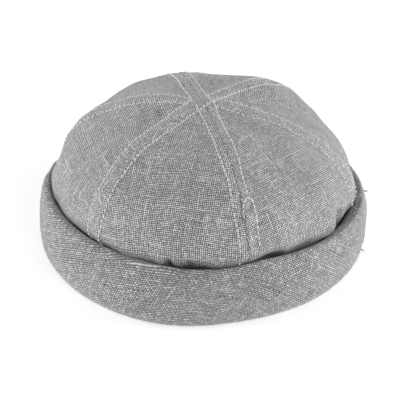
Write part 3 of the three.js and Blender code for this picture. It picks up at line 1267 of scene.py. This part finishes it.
    def gore_paling_and_shade(self, azimuth: np.ndarray, fall: np.ndarray) -> np.ndarray:
        """How much a gore's face is paled on its ridges and loose strip, and shaded towards the crevice.

        Args:
            azimuth: the azimuths, in degrees.
            fall: the falls, in degrees, and in millimetres past 90.

        Returns:
            The paling, below 0 where shade is painted towards the crevice.
        """
        before, after, _radius = self.seam_distances(azimuth, fall)
        ridge = bell(np.minimum(before, after) - self.seam.ridge_offset, self.seam.ridge_width)
        depth = self.form.edge_top(azimuth) - self.form.crown_point(azimuth, fall)[..., 2]
        # Towards the crevice the cloth is painted darker, as painted shade.
        shade = self.form.crevice_shade * smooth_share(depth, *self.shade_depths)
        return ridge + self.strip_share(azimuth, fall) - shade

    def build_gore(self, gore: Gore, material: bpy.types.Material) -> bpy.types.Object:
        """Builds one gore: a fine outer face, an inner face at half its fineness, and the edges between.

        Args:
            gore: which gore.
            material: its finish.

        Returns:
            The gore's object.
        """
        falls = self.row_falls()
        azimuth = self.column_azimuths(gore.value, falls)
        fall = np.broadcast_to(falls[:, None], azimuth.shape)
        outer = self.outer(azimuth, fall)
        inner = self.inner(azimuth[::2, ::2], fall[::2, ::2])
        out = np.arange(azimuth.size).reshape(azimuth.shape)
        back = azimuth.size + np.arange(inner[..., 0].size).reshape(inner.shape[:2])
        faces = self.gore_faces(out, back)
        points = np.concatenate([outer.reshape(-1, 3), inner.reshape(-1, 3)])
        grain = self.gore_grain(gore.value, azimuth, fall)
        grain = np.concatenate([grain.reshape(-1, 2), grain[::2, ::2].reshape(-1, 2)])
        paling_and_shade = np.concatenate([self.gore_paling_and_shade(azimuth, fall).ravel(), np.zeros(back.size)])
        name = "linen_" + gore.name.lower()
        return make_piece(name, points, faces, at_corners(grain, faces), material, paling_and_shade)

    def build(self, material: bpy.types.Material) -> list[bpy.types.Object]:
        """Builds all six gores, and hides the solid model's gores in their place.

        Args:
            material: the gores' linen.

        Returns:
            The gores' objects.
        """
        pieces = []
        for gore in Gore:
            piece = self.build_gore(gore, material)
            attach(piece, BODY)
            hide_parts("gore_" + gore.name.lower())
            LOG.info("%s: %d faces", piece.name, len(piece.data.polygons))
            pieces.append(piece)
        return pieces


@dataclass(frozen=True)
class SeamLine:
    """One row of topstitching: its seam, its side, and how far from the crown's middle it starts."""

    seam: Seam
    side: float
    start: float
    end_fall: float = 88.0


@dataclass(frozen=True)
class ThreadPath:
    """A row of stitches that leaves its seam's straight lines, by the azimuths and falls that it passes."""

    seam: Seam
    places: tuple[tuple[float, float], ...]


@dataclass(frozen=True)
class Topstitching:
    """The two rows of lockstitch beside each seam, as threads that dive into the cloth between stitches.

    The cap's two halves were joined last, so the rows that cross the crown's middle run on without a break.
    """

    crown: Crown
    stitch_length: float = 3.2
    thread_gap: float = 1.25
    # The thread is 0.4 mm thick, and is drawn twice as thick so that it shows at 1.6 pixels a millimetre.
    thread_radius: float = 0.42
    sides: int = 7
    rings: int = 8
    sunk: float = 0.45  # how deep a stitch's ends lie in the cloth
    arch: float = 0.9
    arch_fullness: float = 0.35
    twist_stride: float = 0.37
    first_stitch: float = 0.4
    unevenness: float = 0.12
    seed: int = 5
    close_falls: Stretch = (0.02, 20.0)
    close_points: int = 600
    wide_start: float = 20.1
    wide_points: int = 900
    straight_falls: Stretch = (22.0, 40.0)  # from here on down the rows simply follow their seams
    # The height of each slow wave of a row's course, and its turn in radians for a degree of fall.
    wanders: tuple[tuple[float, float], ...] = ((0.28, 0.21), (0.16, 0.57))
    path_points: int = 240
    path_softness: int = 14
    rows: tuple[SeamLine, ...] = (
        SeamLine(Seam.FRONT, 1.0, 0.0, end_fall=53.0),
        SeamLine(Seam.FRONT, -1.0, 3.5),
        SeamLine(Seam.RIGHT, 1.0, 8.7),
        SeamLine(Seam.RIGHT, -1.0, 8.7),
        SeamLine(Seam.BACK_RIGHT, 1.0, 8.7),
        SeamLine(Seam.BACK_RIGHT, -1.0, 0.0),
        SeamLine(Seam.BACK, 1.0, 8.7),
        SeamLine(Seam.BACK, -1.0, 0.0),
        SeamLine(Seam.LEFT, 1.0, 8.7),
        SeamLine(Seam.LEFT, -1.0, 8.7),
        SeamLine(Seam.FRONT_LEFT, 1.0, 0.0),
        SeamLine(Seam.FRONT_LEFT, -1.0, 3.0),
    )
    paths: tuple[ThreadPath, ...] = (
        ThreadPath(
            Seam.FRONT,
            (
                (-74.0, 63.0),
                (-73.8, 59.5),
                (-73.4, 56.0),
                (-71.8, 53.4),
                (-69.8, 53.6),
                (-69.0, 57.5),
                (-68.9, 62.0),
                (-69.0, 67.0),
                (-69.3, 73.0),
                (-69.5, 79.0),
            ),
        ),
        ThreadPath(Seam.LEFT, ((168.0, 4.6), (160.0, 3.4), (138.0, 2.6))),
    )

    def free_course(self, path: ThreadPath) -> tuple[np.ndarray, np.ndarray]:
        """Where a row that leaves its seam's lines runs, in the same form as a course.

        Args:
            path: the row.

        Returns:
            Points on the cloth, closely spaced, and the cloth's outward direction at each.
        """
        places = np.array(path.places)
        known = np.linspace(0.0, 1.0, len(places))
        fine = np.linspace(0.0, 1.0, self.path_points)
        weights = np.hanning(2 * self.path_softness + 3)[1:-1]
        azimuth, fall = (
            np.convolve(
                np.pad(np.interp(fine, known, column), self.path_softness, mode="edge"),
                weights / weights.sum(),
                mode="valid",
            )
            for column in places.T
        )
        return self.on_cloth(azimuth, fall)

    def on_cloth(self, azimuth: np.ndarray, fall: np.ndarray) -> tuple[np.ndarray, np.ndarray]:
        """Points on the crown's cloth, and the cloth's outward directions there."""
        return self.crown.outer(azimuth, fall), self.crown.form.crown_normal(azimuth, np.maximum(fall, 1.0))

    def course(self, row: SeamLine) -> tuple[np.ndarray, np.ndarray]:
        """Where a row of stitches runs.

        Args:
            row: the row.

        Returns:
            Points on the cloth, closely spaced, and the cloth's outward direction at each.
        """
        form = self.crown.form
        close = np.linspace(*self.close_falls, self.close_points)
        trial = np.concatenate([close, np.linspace(self.wide_start, row.end_fall, self.wide_points)])
        azimuth = np.full(trial.shape, row.seam.value)
        radius = axis_distance(form.crown_point(azimuth, trial))
        trial, radius = trial[radius >= row.start], radius[radius >= row.start]
        phases = (row.seam.value, row.side)
        wander = sum(
            height * np.sin(trial * rate + phase) for (height, rate), phase in zip(self.wanders, phases)
        )
        offset = row.side * (self.crown.seam.stitch_offset + wander)
        turn = np.degrees(np.arctan2(offset, radius))
        reach = np.hypot(radius, offset)
        half_width = form.around(azimuth[: len(trial)], "crown")
        by_reach = np.clip(reach / half_width, 0.0, 1.0) ** (form.middle_fullness / 2.0)
        near_fall = np.degrees(np.arcsin(by_reach))
        far = smooth_share(trial, *self.straight_falls)
        return self.on_cloth(row.seam.value + turn, near_fall * (1.0 - far) + trial * far)

    def stitch(self, bundle: ThreadBundle, points: np.ndarray, normals: np.ndarray, number: int) -> None:
        """Adds the thread of one stitch, from where it comes up to where it goes down.

        Args:
            bundle: the threads of the same seam.
            points: its path on the cloth, one point for each ring.
            normals: the cloth's outward direction at each.
            number: of the stitch along its row, which turns its twist.
        """
        share = np.linspace(0.0, 1.0, self.rings)
        lift = self.arch * np.sin(math.pi * share) ** self.arch_fullness - self.sunk
        middle = points + normals * lift[:, None]
        bundle.add(middle, normals, self.thread_radius, self.sides)
        along = share * running_length(middle)[-1] + number * self.twist_stride
        around = np.arange(self.sides) / self.sides
        bundle.grain.append(np.stack(np.meshgrid(around, along), -1).reshape(-1, 2))

    def build(self, material: bpy.types.Material) -> list[bpy.types.Object]:
        """Sews the rows of each seam, as one piece for each seam.

        Args:
            material: the thread.

        Returns:
            The pieces.
        """
        pieces = []
        draw = np.random.default_rng(self.seed)
        for seam in Seam:
            bundle = ThreadBundle()
            courses = [self.course(row) for row in self.rows if row.seam is seam]
            courses += [self.free_course(path) for path in self.paths if path.seam is seam]
            for points, normals in courses:
                length = running_length(points)
                starts = np.arange(self.first_stitch, length[-1] - self.stitch_length, self.stitch_length)
                for number, start in enumerate(starts):
                    start = start + draw.uniform(-self.unevenness, self.unevenness)
                    marks = np.linspace(start, start + self.stitch_length - self.thread_gap, self.rings)
                    path, out = (
                        np.stack([np.interp(marks, length, column) for column in line.T], -1)
                        for line in (points, normals)
                    )
                    self.stitch(bundle, path, unit(out), number)
            piece = bundle.piece("topstitch_" + seam.name.lower(), material)
            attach(piece, BODY)
            LOG.info("%s: %d faces", piece.name, len(piece.data.polygons))
            pieces.append(piece)
        return pieces


@dataclass(frozen=True)
class Cuff:
    """The cuff: one soft band of linen, folded double, cut on the bias and turned up round the crown."""

    form: CapForm
    wall: float = 3.0
    roll_inside: float = 1.8
    side_roll: float = 2.0
    crisp_azimuth: float = -90.0
    crisp_reach: float = 45.0
    slack_roll: float = 2.8
    slack_azimuth: float = -15.0
    slack_reach: float = 26.0
    roll_drop: float = 3.0
    facing_wall: float = 1.5
    facing_height: float = 15.0
    widest_height: float = 14.0
    lean: float = 3.0
    fold_tuck: float = 4.0
    fold_flat: float = 4.5
    piece_gap: float = 0.3
    steps: int = 700
    # How many corners each stretch of the section has, from the flat up the outside and down the inside.
    fold_corners: int = 12
    side_corners: int = 40
    crest_corners: int = 8
    inside_corners: int = 10
    step_corners: int = 3
    hem_corners: int = 6
    facing_corners: int = 8
    short_corners: int = 4
    # How much of the cloth's unevenness the outside, the fold and the crest take up.
    side_softness: float = 1.0
    fold_softness: float = 0.6
    crest_softness: float = 0.5
    # Inside, the cloth steps in from the wall to the facing, which lies inside the crown.
    step_inset: float = 0.6
    step_width: float = 1.2
    step_height: float = 5.0
    heel: float = 0.3
    shaded_corners: int = 12  # how many corners past the crest are painted darker, as painted shade of the crevice
    shade_ramp: float = 6.0
    back_seam: float = 106.0
    # The band's join, with its pressed allowance and the groove between.
    join_height: float = 0.3
    join_fade: Stretch = (4.0, 6.0)
    join_groove: float = 0.8
    join_groove_width: float = 0.9
    # The soft crease that climbs the cuff at the left, with a fuller lip below it.
    crease_azimuth: float = 213.0
    crease_reach: float = 28.0
    crease_low: float = 22.0
    crease_climb: float = 15.0
    crease_start: Stretch = (-0.5, 0.1)
    crease_end: Stretch = (0.9, 1.4)
    crease_depth: float = 0.8
    crease_width: float = 2.4
    lip_height: float = 0.4
    lip_drop: float = 5.5
    lip_width: float = 4.5
    # How much fuller the fold stands than the solid, and how slack the cloth hangs at the right.
    fold_swell: float = 1.1
    front_swell: float = 0.9
    front_azimuth: float = -35.0
    front_reach: float = 30.0
    swell_rise: Stretch = (0.5, 6.0)
    swell_fade: Stretch = (18.0, 34.0)
    right_slack: float = 1.2
    right_azimuth: float = 8.0
    right_reach: float = 14.0
    right_rise: Stretch = (24.0, 36.0)
    relief_rise: Stretch = (1.0, 9.0)
    # The weft's and the warp's turn from the band, and how much the turning-up draws them askew.
    weft_turn: float = -11.0
    weft_skew: float = -35.0
    warp_turn: float = 60.0
    warp_skew: float = -10.0
    skew_azimuth: float = 270.0
    skew_reach: float = 35.0
    grain_start: float = 24.0
    lot_distance: float = 3000.0  # sets the cuff's weave apart from the gores'
    lumps: tuple[Ripples, ...] = (
        Ripples(58.0, 0.5, 51),
        Ripples(24.0, 0.24, 52),
        Ripples(9.0, 0.07, 53),
    )

    def section(self, azimuth: np.ndarray) -> tuple[np.ndarray, np.ndarray, np.ndarray]:
        """The cuff's section, from its flat up the outside, over the top edge and down inside.

        Args:
            azimuth: the azimuths.

        Returns:
            Half widths and heights, one row for each azimuth, and how soft the cloth is at each corner, from
            0 to 1.
        """
        turn = azimuth[:, None]
        crown = self.form.around(turn, "crown")
        widest = self.form.around(turn, "cuff")
        top = self.form.edge_top(turn)
        flat_outer = widest - self.fold_tuck
        flat_inner = flat_outer - self.fold_flat
        side_share = 1.0 - bell(turn_between(turn, self.crisp_azimuth), self.crisp_reach)
        slack = bell(turn_between(turn, self.slack_azimuth), self.slack_reach)
        roll = self.roll_inside + self.side_roll * side_share + self.slack_roll * slack
        reach = math.sqrt(1.0 - (1.0 - self.form.crevice_drop / self.roll_drop) ** 2)
        crest = crown - self.form.crevice_pull(turn) + self.form.crevice_gap + reach * roll
        edge_inner = crest - roll
        shoulder = top - self.roll_drop
        rise = shoulder - self.widest_height
        floor = self.form.crown_edge_height - self.piece_gap
        facing_outer = crown - self.form.crown_edge_taper - self.form.crown_wall - self.piece_gap
        facing_inner = facing_outer - self.facing_wall
        facing_roll = self.facing_wall / 2.0
        facing_shoulder = self.facing_height - facing_roll
        inner_widest = widest - self.wall

        def arc(count: int, last: float) -> np.ndarray:
            """Evenly spaced angles in radians from 0, without the last."""
            return np.radians(np.linspace(0.0, last, count, endpoint=False))[None, :]

        def run(count: int, first: float = 0.0, last: float = 1.0) -> np.ndarray:
            """Evenly spaced shares, without the last."""
            return np.linspace(first, last, count, endpoint=False)[None, :]

        fold = arc(self.fold_corners, QUARTER_TURN)
        side = arc(self.side_corners, QUARTER_TURN)
        crest_turn = arc(self.crest_corners, QUARTER_TURN)
        hem = arc(self.hem_corners, 2.0 * QUARTER_TURN)
        inside = run(self.inside_corners, 1.0, 0.0)
        step = run(self.step_corners)
        down = run(self.short_corners)
        climb = run(self.facing_corners, 1.0, 0.0)
        wide = widest - crest
        inner_wide = inner_widest - edge_inner
        heel = flat_outer - self.heel
        facing_rise = facing_shoulder - floor
        side_reach = crest + wide * np.cos(side) ** (2.0 / self.lean)
        side_rise = self.widest_height + (top - self.widest_height) * np.sin(side) ** (2.0 / self.lean)
        hem_reach = facing_inner + facing_roll * (1.0 + np.cos(hem))
        fold_rise = self.widest_height * (1.0 - np.cos(fold))
        stretches = [
            (flat_outer + self.fold_tuck * np.sin(fold), fold_rise, self.fold_softness),
            (side_reach, side_rise, self.side_softness),
            (
                crest - roll * np.sin(crest_turn),
                top - self.roll_drop * (1.0 - np.cos(crest_turn)),
                self.crest_softness,
            ),
            (edge_inner + inner_wide * (1.0 - inside**self.lean), self.widest_height + rise * inside, 0.0),
            (
                inner_widest - self.step_inset - self.step_width * step,
                floor + self.step_height * (1.0 - step),
                0.0,
            ),
            (heel + (facing_outer - heel) * down, floor, 0.0),
            (facing_outer, floor + facing_rise * down, 0.0),
            (hem_reach, facing_shoulder + facing_roll * np.sin(hem), 0.0),
            (facing_inner, floor + facing_rise * climb, 0.0),
            (facing_inner + (flat_inner - facing_inner) * down, floor * (1.0 - down), 0.0),
            (flat_inner + self.fold_flat * step, 0.0, 0.0),
        ]
        every = np.zeros(turn.shape)
        parts = [np.broadcast_arrays(across + every, up + every) for across, up, _soft in stretches]
        half_widths, heights = (np.concatenate(column, axis=1) for column in zip(*parts))
        softness = [np.full(part[0].shape[1], stretch[2]) for part, stretch in zip(parts, stretches)]
        return half_widths, heights, np.concatenate(softness)

    def creases(self, azimuth: np.ndarray, height: np.ndarray) -> np.ndarray:
        """The soft crease that climbs the cuff at the left, and the join of the band at the back.

        Args:
            azimuth: the azimuths, from the back seam on.
            height: the heights.

        Returns:
            The height over the smooth cuff, in millimetres.
        """
        share = (azimuth - self.crease_azimuth) / self.crease_reach
        above = height - (self.crease_low + self.crease_climb * share)
        lip = self.lip_height * bell(above + self.lip_drop, self.lip_width)
        fold = (lip - self.crease_depth * bell(above, self.crease_width)) * smooth_window(
            share, self.crease_start, self.crease_end
        )
        turn = np.radians(turn_between(azimuth, self.back_seam))
        distance = np.abs(turn * self.form.typical_half_width)
        join = self.join_height * (1.0 - smooth_share(distance, *self.join_fade))
        return fold + join - self.join_groove * bell(distance, self.join_groove_width)

    def swell(self, azimuth: np.ndarray, height: np.ndarray) -> np.ndarray:
        """How much fuller the soft fold stands than the solid model, most at the right of the front.

        Args:
            azimuth: the azimuths, in degrees.
            height: the heights above the surface, in millimetres.

        Returns:
            The height over the smooth cuff, in millimetres.
        """
        front = self.front_swell * bell(turn_between(azimuth, self.front_azimuth), self.front_reach)
        right = self.right_slack * bell(turn_between(azimuth, self.right_azimuth), self.right_reach)
        low = smooth_window(height, self.swell_rise, self.swell_fade)
        return (self.fold_swell + front) * low - right * smooth_share(height, *self.right_rise)

    def grain_turn(self, azimuth: np.ndarray) -> tuple[np.ndarray, np.ndarray]:
        """The angles of the weft and warp to the band, which the turning-up draws askew towards the left.

        Args:
            azimuth: the azimuths, in degrees.

        Returns:
            The weft's and the warp's angles, in radians.
        """
        skew = np.tanh((azimuth - self.skew_azimuth) / self.skew_reach)
        weft = np.radians(self.weft_turn + self.weft_skew * skew)
        return weft, np.radians(self.warp_turn + self.warp_skew * skew)

    def grain(self, azimuth: np.ndarray, points: np.ndarray) -> np.ndarray:
        """Grain coordinates of the band.

        Args:
            azimuth: the azimuth of each row, with the first repeated at the end.
            points: the rows' points, likewise.

        Returns:
            Millimetres across the warp and across the weft for each point.
        """
        around = running_length(points[:, self.fold_corners])
        up = running_length(points[0]) - self.grain_start
        weft_turn, warp_turn = self.grain_turn(azimuth)
        step = np.gradient(around)
        weft_run = np.cumsum(np.sin(weft_turn) * step)
        warp_run = np.cumsum(np.sin(warp_turn) * step)
        weft = np.cos(weft_turn)[:, None] * up[None, :] - weft_run[:, None]
        warp = warp_run[:, None] - np.cos(warp_turn)[:, None] * up[None, :]
        return np.stack([warp + self.lot_distance, weft], axis=-1)

    def shade(self) -> np.ndarray:
        """How dark each corner of the section is painted with the crevice's shade, from the crest inward.

        Returns:
            The paling at each corner, below 0 where shade is painted.
        """
        corners = self.section(np.zeros(1))[2].size
        turned_in = np.arange(corners) - (self.fold_corners + self.side_corners)
        # The corners turned in towards the crevice are painted darker, as painted shade.
        dye_and_shade = smooth_share(turned_in, 0.0, self.shade_ramp) * (turned_in < self.shaded_corners)
        return -self.form.crevice_shade * dye_and_shade

    def build(self, material: bpy.types.Material) -> bpy.types.Object:
        """Builds the cuff as one closed ring.

        Args:
            material: its linen.

        Returns:
            The cuff's object.
        """
        azimuth = self.back_seam + np.linspace(0.0, FULL_TURN, self.steps + 1)
        half_widths, heights, softness = self.section(azimuth)
        smooth = self.form.plan_point(azimuth[:, None], half_widths, heights)
        forth = np.concatenate([smooth[-2:-1], smooth, smooth[1:2]])
        along = forth[2:] - forth[:-2]
        up = np.roll(smooth, -1, axis=1) - np.roll(smooth, 1, axis=1)
        normal = unit(np.cross(along, up))
        relief = sum(ripples.at(smooth) for ripples in self.lumps)
        relief = relief + self.creases(azimuth[:, None], heights)
        relief = relief * smooth_share(heights, *self.relief_rise) + self.swell(azimuth[:, None], heights)
        relief = relief * softness[None, :]
        points = smooth + normal * relief[..., None] + self.form.shift()
        grain = self.grain(azimuth, smooth)
        corners = points.shape[1]
        ring = np.arange(self.steps * corners).reshape(self.steps, corners)
        after = np.roll(ring, -1, axis=0)
        faces = quad_faces(ring, after, np.roll(after, -1, axis=1), np.roll(ring, -1, axis=1))
        here, there = grain[:-1], grain[1:]
        seam_fill = (np.roll(there, -1, axis=1), np.roll(here, -1, axis=1))
        quad_grain = np.stack([here, there, *seam_fill], axis=2).reshape(-1, 2)
        paling_and_shade = np.broadcast_to(self.shade(), smooth.shape[:2])
        piece = make_piece("linen_cuff", points[:-1].reshape(-1, 3), faces, quad_grain, material, paling_and_shade[:-1])
        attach(piece, BODY)
        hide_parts("cuff")
        LOG.info("%s: %d faces", piece.name, len(piece.data.polygons))
        return piece


@dataclass(frozen=True)
class LooseEnd:
    """A thread end that stands out from the cuff."""

    azimuth: float
    height: float
    length: float
    droop: float


@dataclass(frozen=True)
class LooseEnds:
    """Two dark thread ends at the cuff's right, which were never trimmed."""

    form: CapForm
    radius: float = 0.42
    taper: float = 0.5
    depth: float = 1.2  # how deep an end is rooted in the cuff
    drift: float = -0.5
    rings: int = 7
    sides: int = 6
    ends: tuple[LooseEnd, ...] = (LooseEnd(-1.0, 34.0, 2.8, -0.3), LooseEnd(-12.0, 4.5, 2.9, 1.3))

    def build(self, material: bpy.types.Material) -> bpy.types.Object:
        """Builds both ends as one piece.

        Args:
            material: the thread.

        Returns:
            The piece.
        """
        bundle = ThreadBundle()
        share = np.linspace(0.0, 1.0, self.rings)
        upward = np.array([0.0, 0.0, 1.0])
        for end in self.ends:
            half_width = self.form.around(end.azimuth, "cuff") - self.depth
            root = self.form.plan_point(end.azimuth, half_width, end.height)
            out = np.array([*plan_direction(end.azimuth), 0.0])
            path = root + out * (share * end.length)[:, None]
            bend = np.array([0.0, self.drift, -end.droop])
            path = path + bend * (share**2)[:, None] + self.form.shift()
            bundle.add(path, upward, self.radius * (1.0 - self.taper * share), self.sides)
            bundle.grain.append(np.zeros((self.rings * self.sides, 2)))
        piece = bundle.piece("loose_thread_ends", material)
        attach(piece, BODY)
        LOG.info("%s: %d faces", piece.name, len(piece.data.polygons))
        return piece


@dataclass(frozen=True)
class Softbox:
    """A square softbox: where it stands in metres, and its power in watts."""

    name: str
    place: tuple[float, float, float]
    power: float
    side: float = 0.9


@dataclass(frozen=True)
class Studio:
    """A pale floor, soft light from every side, and the camera at the photograph's angle."""

    floor_half_side: float = 3.0
    hollow_radius: float = 0.085
    floor_colour: str = "f4f4f4"
    floor_roughness: float = 0.9
    floor_specular: float = 0.1
    floor_corners: int = 96
    surround: float = 0.465
    front_dimming: float = 0.45  # the light tent is open in front, where the camera stands
    floor_glow: float = 0.4
    softboxes: tuple[Softbox, ...] = (
        Softbox("left_softbox", (-1.35, 0.0, 0.4), 11.1),
        Softbox("right_softbox", (1.35, 0.0, 0.4), 10.9),
        Softbox("high_softbox", (0.3, -1.1, 0.85), 3.7),
    )
    elevation: float = 30.0
    distance: float = 1.2
    lens: float = 175.7
    sensor: float = 36.0
    aim: tuple[float, float, float] = (-0.0015, -0.0008, 0.0266)

    def build_floor(self) -> None:
        """Makes the floor, open where the cap's hollow stands so that the inside gets light from below."""
        made, tree = new_material("opal_acrylic_light_table")
        # Seen from below, the floor is clear, so that the underside of the cap shows.
        side = add_node(tree, "ShaderNodeNewGeometry").outputs["Backfacing"]
        look = {
            "Base Color": linear_colour(self.floor_colour),
            "Roughness": self.floor_roughness,
            "Specular IOR Level": self.floor_specular,
        }
        paint = add_node(tree, "ShaderNodeBsdfPrincipled", look)
        glow = add_node(tree, "ShaderNodeEmission", {"Strength": self.floor_glow})
        lit = add_node(tree, "ShaderNodeAddShader", {0: paint.outputs["BSDF"], 1: glow.outputs["Emission"]})
        clear = add_node(tree, "ShaderNodeBsdfTransparent")
        either = add_node(
            tree, "ShaderNodeMixShader", {0: side, 1: lit.outputs["Shader"], 2: clear.outputs["BSDF"]}
        )
        add_node(tree, "ShaderNodeOutputMaterial", {"Surface": either.outputs["Shader"]})
        count = self.floor_corners
        angle = np.arange(count) * 2.0 * math.pi / count
        circle = np.stack([np.cos(angle), np.sin(angle), np.zeros(count)], -1)
        points = np.concatenate([circle * self.hollow_radius, circle * self.floor_half_side])
        place = np.arange(count)
        after = np.roll(place, -1)
        mesh = bpy.data.meshes.new("floor")
        mesh.from_pydata(points.tolist(), [], quad_faces(place, place + count, after + count, after))
        mesh.materials.append(made)
        add_object("floor", mesh)

    def add_softbox(self, softbox: Softbox) -> None:
        """Sets up a softbox that faces the cap.

        Args:
            softbox: which one.
        """
        light = bpy.data.lights.new(softbox.name, "AREA")
        light.shape = "SQUARE"
        light.size = softbox.side
        light.energy = softbox.power
        lamp = add_object(softbox.name, light)
        lamp.location = softbox.place
        lamp.rotation_euler = (Vector(self.aim) - Vector(softbox.place)).to_track_quat("-Z", "Y").to_euler()

    def build_light(self) -> None:
        """Lights the cap as a light tent does: from all round, and most from the two sides."""
        world = bpy.data.worlds.new("light_tent")
        world.use_nodes = True
        tree = world.node_tree
        tree.nodes.clear()
        direction = add_node(tree, "ShaderNodeTexCoord").outputs["Generated"]
        forth = add_node(tree, "ShaderNodeSeparateXYZ", {0: direction}).outputs["Y"]
        levels = {
            "Value": forth,
            "From Min": -1.0,
            "From Max": 0.0,
            "To Min": self.surround * (1.0 - self.front_dimming),
            "To Max": self.surround,
        }
        strength = add_node(tree, "ShaderNodeMapRange", levels).outputs["Result"]
        glow = add_node(tree, "ShaderNodeBackground", {"Color": (1.0, 1.0, 1.0, 1.0), "Strength": strength})
        add_node(tree, "ShaderNodeOutputWorld", {"Surface": glow.outputs["Background"]})
        bpy.context.scene.world = world
        for softbox in self.softboxes:
            self.add_softbox(softbox)
        view = bpy.context.scene.view_settings
        view.view_transform = "Standard"
        view.look = "None"

    def build_camera(self) -> None:
        """Sets the camera at the photograph's distance and angle."""
        camera = bpy.data.cameras.new("camera")
        camera.lens = self.lens
        camera.sensor_width = self.sensor
        stand = add_object("camera", camera)
        angle = math.radians(self.elevation)
        back = Vector((0.0, -math.cos(angle), math.sin(angle)))
        stand.location = Vector(self.aim) + back * self.distance
        stand.rotation_mode = "QUATERNION"
        stand.rotation_quaternion = (-back).to_track_quat("-Z", "Y")
        bpy.context.scene.camera = stand

    def build(self) -> None:
        """Sets the whole studio up."""
        self.build_floor()
        self.build_light()
        self.build_camera()


SHADED_CUFF_LINEN = SlubLinen(
    "cuff_slub_linen_on_the_bias_painted_darker",
    # On the bias more light falls into the gaps between the yarns, and the weft lies a little further apart.
    weft_spacing=1.2,
    warp_gap=0.27,
    weft_gap=0.2,
    # The base tone is painted darker than the crown's, as painted shade for the dimmer light on the cuff.
    base_tone=0.36,
    fleck_contrast=0.5,
    slub_lift=0.27,
)


def main() -> None:
    """Loads the frame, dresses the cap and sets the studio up."""
    logging.basicConfig(level=logging.INFO, format="%(name)s %(message)s")
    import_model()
    form = CapForm()
    crown = Crown(form, SeamSizes())
    crown_linen = SlubLinen("crown_slub_linen").material()
    shaded_cuff_linen = SHADED_CUFF_LINEN.material()
    thread = SewingThread().material()
    dark_thread = SewingThread("dark_linen_thread", ply="262626", furrow="161616").material()
    Studio().build()
    crown.build(crown_linen)
    Topstitching(crown).build(thread)
    Cuff(form).build(shaded_cuff_linen)
    LooseEnds(form).build(dark_thread)


if __name__ == "__main__":
    main()
